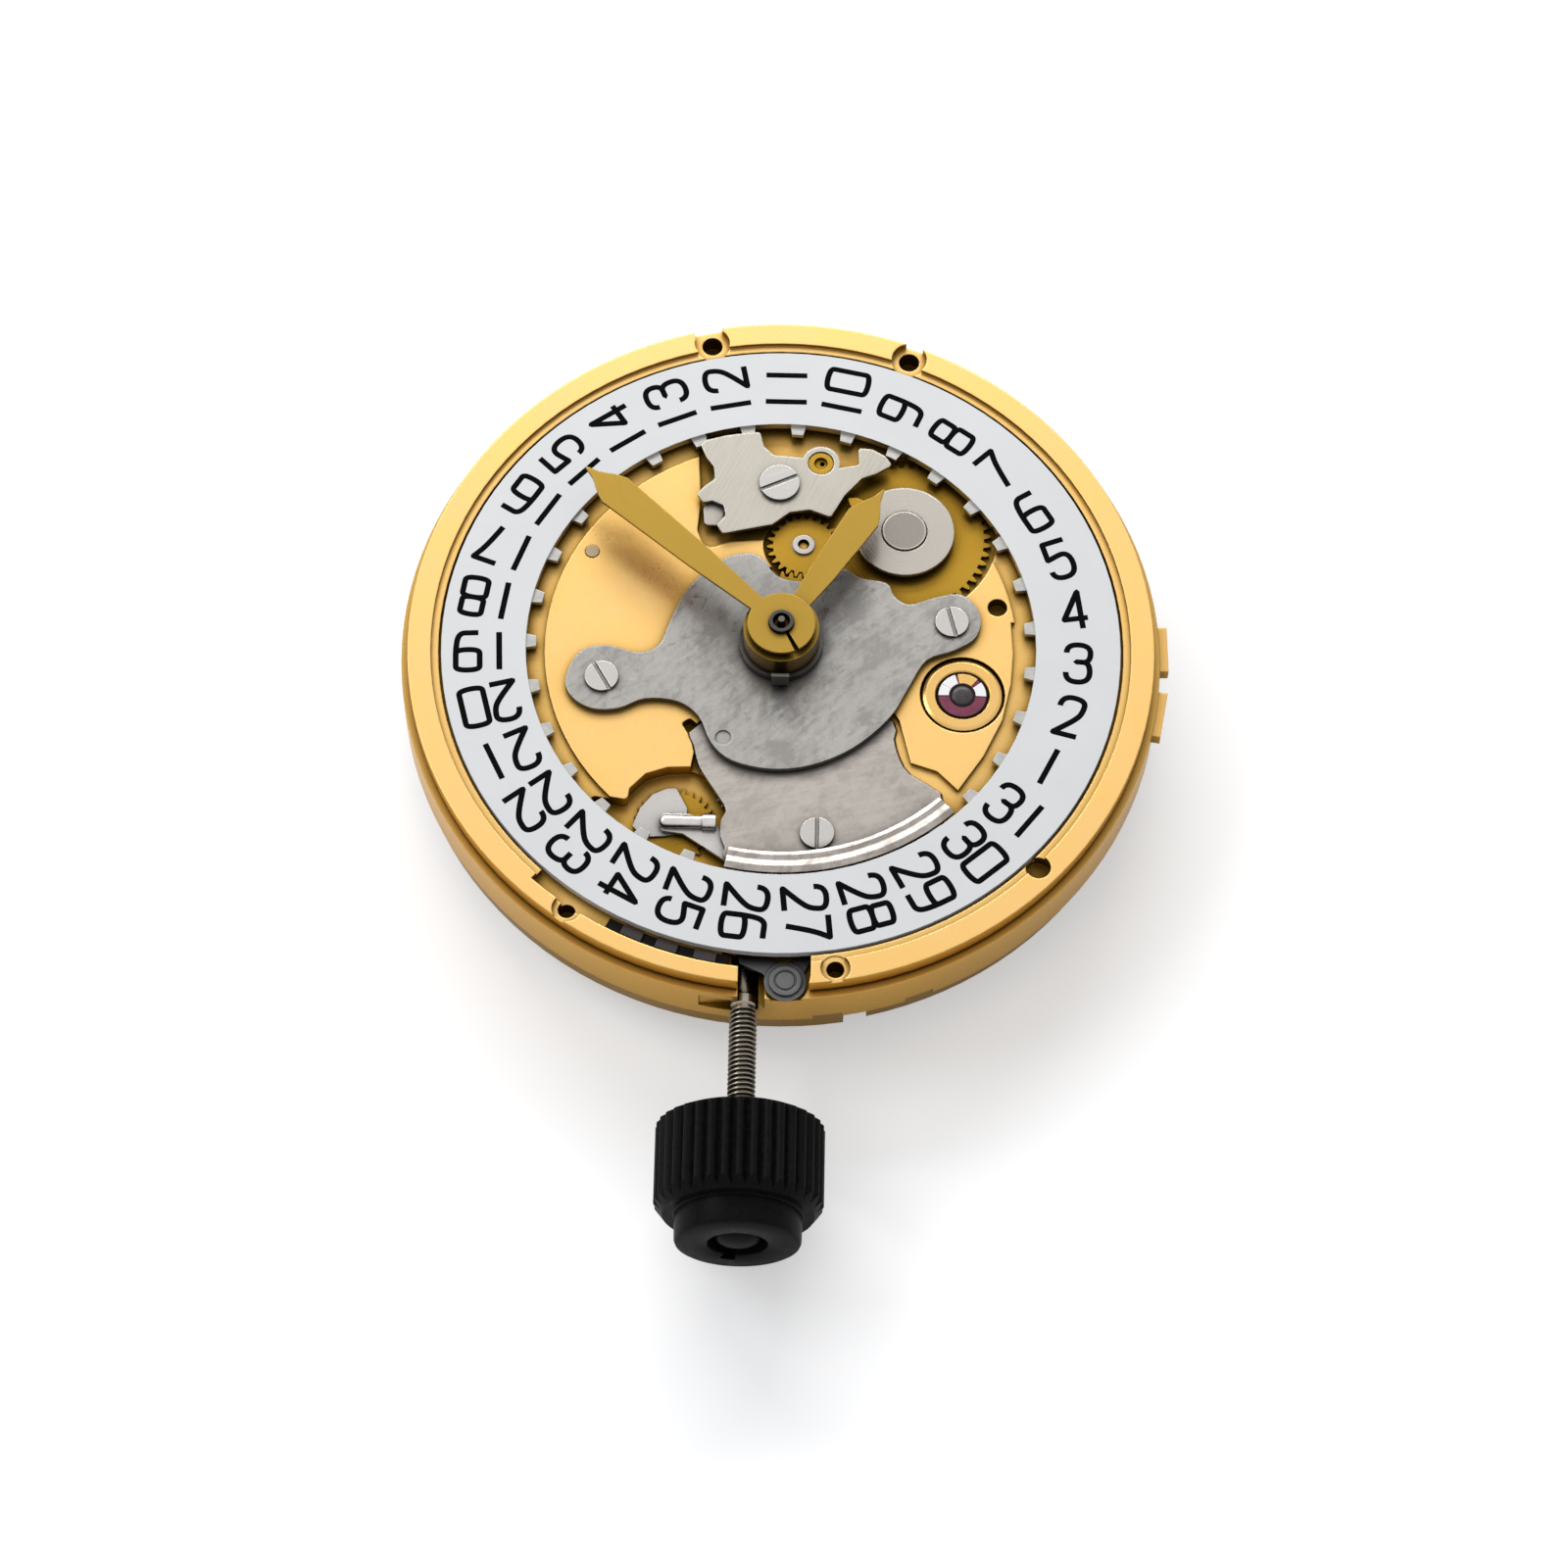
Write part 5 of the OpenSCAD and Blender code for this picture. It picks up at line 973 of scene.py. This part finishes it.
@dataclass
class KeylessWork:
    """Levers, wheels and pinions between the stem and the hands."""

    steel: Metal = Metal(
        "lever_steel", "steel_light", (0.74, 0.72, 0.69), (0.50, 0.48, 0.46), Grain.POLISHED,
        roughness=0.16, contrast=0.3, edge=0.08)
    grey: Metal = Metal(
        "rocker_steel", "steel_grey", (0.50, 0.48, 0.46), (0.34, 0.33, 0.32), Grain.FROSTED,
        roughness=0.38, contrast=0.4, depth=0.002)
    brass: Metal = replace(TURNED_BRASS, name="corrector_brass", centre=(-3.48, -6.58))
    button: Metal = Metal(
        "button_steel", "steel_dark", (0.17, 0.17, 0.17), (0.08, 0.08, 0.08), Grain.CIRCULAR,
        edge=0.05, centre=(0.38, -12.45))

    def build(self) -> None:
        """Dresses the keyless work."""
        dress(self.steel, "yoke", "setting_wheel", "sliding_pinion", "winding_pinion")
        dress(self.grey, "corrector_rocker")
        dress(self.brass, "corrector_wheel")
        dress(self.button, "release_button", "setting_lever")


@dataclass
class StemAndCrown:
    """Threaded stem and the black crown on its end."""

    axis_x: float = -1.0
    axis_z: float = -1.45
    thread_start: float = 13.1
    thread_end: float = 17.3
    thread_steps: int = 32
    pitch: float = 0.17
    crest: float = 0.47
    root: float = 0.37
    sunk: float = 0.02
    crown_start: float = 17.3
    crown_end: float = 20.5
    crown_radius: float = 2.8
    flutes: int = 36
    flute_depth: float = 0.24
    key_direction: float = -105.0
    key_radius: float = 1.36
    key_half_width: float = 0.2
    steel: Metal = Metal(
        "stem_steel", "steel_light", (0.52, 0.47, 0.40), (0.30, 0.26, 0.21), Grain.FROSTED,
        roughness=0.25, contrast=0.4, edge=0.0, gleam=0.0, wall=0.25, reach=0.15,
        corner=(0.1, 0.5))
    black: Lacquer = Lacquer(
        "crown_black", "crown_black", (0.004, 0.004, 0.004), (0.009, 0.009, 0.009), 0.36, 0.004,
        0.04, 0.045)

    def rod(self) -> bmesh.types.BMesh:
        """Turns the plain part of the stem with its groove.

        Returns:
            The rod along +Z.
        """
        return lathe([(0.0, 5.6), (0.18, 5.6), (0.22, 5.66), (0.22, 7.2), (0.25, 7.2),
                      (0.25, 9.9), (0.35, 9.9), (0.35, 11.05), (0.43, 11.08), (0.43, 11.33),
                      (0.22, 11.36), (0.22, 11.84), (0.27, 11.86), (0.27, 12.62), (0.4, 12.66),
                      (0.43, 12.7), (0.43, 12.98), (0.37, 13.05), (0.37, 18.8), (0.0, 18.8)], 48)

    def thread(self) -> bmesh.types.BMesh:
        """Winds the helical thread.

        Returns:
            The thread along +Z.
        """
        shape = bmesh.new()
        turns = int((self.thread_end - self.thread_start) / self.pitch)
        low = self.root - self.sunk
        profile = ((low, 0.06), (self.root, 0.06), (self.crest, 0.42), (self.crest, 0.56),
                   (self.root, 0.92), (low, 0.92))
        line = outline(shape, [(radius, self.thread_start + part * self.pitch)
                               for radius, part in profile])
        first = line[:len(profile)]
        line.append(shape.edges.new((first[-1], first[0])))
        last = spin(shape, line, FULL_TURN * turns, self.thread_steps * turns,
                    self.pitch / self.thread_steps)
        for end in (first, [item for item in last if isinstance(item, bmesh.types.BMVert)]):
            bmesh.ops.contextual_create(shape, geom=end)
        return shape

    def crown(self) -> bmesh.types.BMesh:
        """Turns the fluted crown with its boss and sunk button.

        Returns:
            The crown along +Z.
        """
        low, high, wide = self.crown_start, self.crown_end, self.crown_radius
        shape = lathe([(0.0, low + 1.55), (0.5, low + 1.55), (0.5, low), (wide - 0.3, low),
                       (wide, low + 0.1), (wide, high - 0.1), (wide - 0.3, high), (2.16, high),
                       (2.11, high + 0.04), (2.09, high + 0.86), (2.05, high + 0.95),
                       (1.96, high + 1.0), (1.06, high + 1.0), (1.0, high + 0.97),
                       (0.98, high + 0.45), (0.78, high + 0.45), (0.76, high + 0.72),
                       (0.71, high + 0.82), (0.58, high + 0.91), (0.38, high + 0.97),
                       (0.2, high + 0.995), (0.0, high + 1.0)], self.flutes * 8)
        for point in shape.verts:
            self.cut(point.co)
        return shape

    def cut(self, place: Vector) -> None:
        """Moves a point of the crown into a flute or into the key's notch.

        Args:
            place: Place of the point, which is changed.
        """
        low, high, wide = self.crown_start, self.crown_end, self.crown_radius
        radius, angle = math.hypot(place.x, place.y), math.atan2(place.y, place.x)
        grown = radius
        if radius > wide - 0.05:
            ridge = abs(math.cos(angle * self.flutes / 2))
            grown = wide - self.flute_depth * (1 - ridge)
            slope = grown - wide + 0.3
            back = place.z < (low + high) / 2
            place.z = low + 0.5 * slope if back else high - 1.3 * slope
        elif 0.95 < radius < 1.1:
            if abs(angle - math.radians(self.key_direction)) < self.key_half_width:
                grown = self.key_radius
        if radius > 0:
            place.x *= grown / radius
            place.y *= grown / radius

    def build(self) -> None:
        """Makes the stem and the crown, which point outwards along -Y."""
        outwards = (Matrix.Translation((self.axis_x, 0, self.axis_z))
                    @ Matrix.Rotation(math.pi / 2, 4, "X"))
        for name, shape, finish, replaced in (
                ("stem_rod", self.rod(), self.steel, ["stem"]),
                ("stem_thread", self.thread(), self.steel, []),
                ("crown_cap", self.crown(), self.black, ["crown"])):
            piece(name, moved(shape, outwards), finish, "stem", replaced, smooth=True)


@dataclass
class GoingTrain:
    """Barrel, train, escapement and balance between the plate and the bridges."""

    brass: Metal = replace(FROSTED_BRASS, name="train_brass")
    centre: Metal = replace(
        FROSTED_BRASS, name="centre_brass", grain=Grain.CIRCULAR, core=0.7,
        core_colour=(0.16, 0.15, 0.15))
    steel: Metal = replace(POLISHED_STEEL, name="train_steel")
    blue: Metal = Metal(
        "blued_steel", "spring_blue", (0.10, 0.16, 0.42), (0.06, 0.09, 0.26), Grain.FROSTED,
        roughness=0.25, spread=0.04, contrast=0.4, depth=0.0005, edge=0.0, gleam=0.0)

    def build(self) -> None:
        """Dresses the train."""
        dress(self.brass, "barrel_drum", "barrel_cover", "third_wheel", "balance_wheel")
        dress(self.centre, "centre_wheel", "fourth_wheel")
        dress(self.steel, "barrel_arbor", "escape_wheel", "pallet_fork", "balance_staff",
              "regulator")
        dress(self.blue, "mainspring", "hairspring")


@dataclass
class Bridges:
    """Bridges over the train and the winding wheels on them."""

    gilt: Metal = Metal(
        "gilt_bridge", "bridge_gold", GOLD, GOLD_SHADE, Grain.STRIPED, roughness=0.28, spread=0.06,
        depth=0.002, edge=0.07, turn=30.0)
    plain: Metal = Metal(
        "gilt_plain", "bridge_gold", GOLD, GOLD_SHADE, Grain.FROSTED, spread=0.03, contrast=0.15,
        depth=0.0005, edge=0.07)
    steel: Metal = Metal(
        "winding_steel", "steel_bright", (0.70, 0.69, 0.67), (0.48, 0.47, 0.46), Grain.CIRCULAR,
        roughness=0.24, edge=0.05)
    wheel_centres: tuple[tuple[str, Point], ...] = (
        ("ratchet_wheel", (-5.107, 2.854)), ("winding_idler", (-4.328, -3.7)),
        ("crown_wheel", (-1.0, -8.45)), ("click", (-9.412, 0.847)),
    )

    def build(self) -> None:
        """Dresses the bridges and the winding wheels."""
        dress(self.gilt, "train_bridge", "barrel_bridge", "automatic_bridge")
        dress(self.plain, "balance_cock", "pallet_bridge")
        for node, centre in self.wheel_centres:
            dress(replace(self.steel, name=f"{node}_steel", centre=centre), node)


@dataclass
class AutomaticWork:
    """Rotor, its bearing and the wheels that it drives."""

    plate: Metal = Metal(
        "rotor_steel", "steel_grey", (0.56, 0.55, 0.53), (0.38, 0.37, 0.36), Grain.CIRCULAR,
        roughness=0.28, contrast=0.6, edge=0.08)
    brass: Metal = replace(FROSTED_BRASS, name="reduction_brass")
    steel: Metal = replace(POLISHED_STEEL, name="reverser_steel")

    def build(self) -> None:
        """Dresses the automatic work."""
        dress(self.plate, "rotor")
        dress(self.brass, "reduction_wheel")
        dress(self.steel, "rotor_bearing", "reversing_wheel_a", "reversing_wheel_b")


# studio


@dataclass(frozen=True)
class Lamp:
    """Area lamp that points at the movement, with its sizes in millimetres and watts."""

    name: str
    place: tuple[float, float, float]
    size: Point
    power: float

    def hang(self) -> None:
        """Hangs the lamp in its place."""
        data = bpy.data.lights.new(self.name, "AREA")
        data.shape = "RECTANGLE"
        data.size, data.size_y = self.size[0] * MM, self.size[1] * MM
        data.energy = self.power
        lamp = bpy.data.objects.new(self.name, data)
        lamp.location = Vector(self.place) * MM
        lamp.rotation_mode = "QUATERNION"
        lamp.rotation_quaternion = (-lamp.location).to_track_quat("-Z", "Y")
        bpy.context.scene.collection.objects.link(lamp)


@dataclass
class Studio:
    """Floor, light and camera."""

    frame_pixels: float = 1600.0
    focal_pixels: float = 5000.0
    sensor: float = 36.0
    distance: float = 168.0
    elevation: float = 63.5
    roll: float = -1.2
    origin_pixel: Point = (797.0, 656.0)
    floor_height: float = -4.62
    floor_size: float = 400.0
    floor_colour: Colour = (0.9, 0.9, 0.905)
    floor_glow: float = 0.42
    # Glossy rays shorter than this see the floor without its glow: painted shade in close
    # reflections of the floor.
    mirror_reach: float = 8.0
    room: float = 0.36
    room_colour: Colour = (0.95, 0.97, 1.0)
    lamps: tuple[Lamp, ...] = (
        Lamp("back", (-40.0, 240.0, 180.0), (300.0, 90.0), 0.62),
        Lamp("key", (-200.0, 60.0, 200.0), (120.0, 120.0), 0.17),
    )

    def camera(self) -> None:
        """Places the camera at the photograph's viewing angle."""
        tilt, roll = math.radians(self.elevation), math.radians(self.roll)
        right, up = Vector((1, 0, 0)), Vector((0, math.sin(tilt), math.cos(tilt)))
        back = Vector((0, -math.cos(tilt), math.sin(tilt)))
        across = math.cos(roll) * right - math.sin(roll) * up
        upward = math.sin(roll) * right + math.cos(roll) * up
        half, pixel = self.frame_pixels / 2, self.distance / self.focal_pixels
        shift_x = (self.origin_pixel[0] - half) * pixel
        shift_y = (half - self.origin_pixel[1]) * pixel
        place = (back * self.distance - across * shift_x - upward * shift_y) * MM
        data = bpy.data.cameras.new("camera")
        data.sensor_width = self.sensor
        data.lens = self.focal_pixels / self.frame_pixels * self.sensor
        data.clip_start = 0.01
        camera = bpy.data.objects.new("camera", data)
        axes = Matrix((across, upward, back)).transposed().to_4x4()
        camera.matrix_world = Matrix.Translation(place) @ axes
        bpy.context.scene.collection.objects.link(camera)
        bpy.context.scene.camera = camera

    def rays(self, tree: Tree) -> tuple[Wire, Wire, Wire]:
        """Tells how a ray comes.

        Args:
            tree: Tree of the floor or the room.

        Returns:
            The camera's mask, the mask of glossy and transmitted rays, and the length.
        """
        path = tree.add("ShaderNodeLightPath").outputs
        direct, glossy, clear, length = (
            Wire(tree, path[name]) for name in
            ("Is Camera Ray", "Is Glossy Ray", "Is Transmission Ray", "Ray Length"))
        return direct, glossy.larger(clear), length

    def floor(self) -> None:
        """Lays the pale floor."""
        shape = bmesh.new()
        bmesh.ops.create_grid(shape, x_segments=1, y_segments=1, size=self.floor_size * MM)
        bmesh.ops.translate(shape, vec=(0, 0, self.floor_height * MM), verts=shape.verts)
        mesh = bpy.data.meshes.new("floor")
        shape.to_mesh(mesh)
        shape.free()
        made = bpy.data.materials.new("floor_white")
        tree = Tree(made)
        direct, mirrored, length = self.rays(tree)
        # Painted shade: the floor's glow fades out of reflections that meet it close to the
        # movement.
        seen = direct.larger(mirrored * length.span(0.0, self.mirror_reach * MM))
        tree.surface("Base Color", self.floor_colour)
        tree.surface("Roughness", 0.9)
        tree.surface("Emission Color", tree.blend(seen, (0.0, 0.0, 0.0), (1.0, 1.0, 1.0)))
        tree.surface("Emission Strength", self.floor_glow)
        mesh.materials.append(made)
        floor = bpy.data.objects.new("floor", mesh)
        bpy.context.scene.collection.objects.link(floor)

    def world(self) -> None:
        """Fills the room with a soft even light, and shows white behind everything."""
        world = bpy.data.worlds.new("room")
        bpy.context.scene.world = world
        tree = Tree(world, "ShaderNodeOutputWorld", "ShaderNodeMixShader")
        direct, mirrored, _ = self.rays(tree)
        tree.surface(0, direct.larger(mirrored))
        for socket, colour, strength in ((1, self.room_colour, self.room),
                                         (2, (1.0, 1.0, 1.0), 1.0)):
            tree.surface(socket, tree.wire("ShaderNodeBackground", None,
                                           {"Color": colour, "Strength": strength}))

    def build(self) -> None:
        """Makes the whole studio."""
        bpy.context.scene.view_settings.view_transform = "Standard"
        self.camera()
        self.floor()
        self.world()
        for lamp in self.lamps:
            lamp.hang()


def main() -> None:
    """Builds the sub-assemblies in order."""
    logging.basicConfig(level=logging.INFO, format="%(name)s: %(message)s")
    for part in (MainPlate(), DateWork(), MotionWork(), ShockSetting(), KeylessWork(),
                 StemAndCrown(), GoingTrain(), Bridges(), AutomaticWork(), Studio()):
        log.info("building %s", type(part).__name__)
        part.build()


if __name__ == "__main__":
    main()
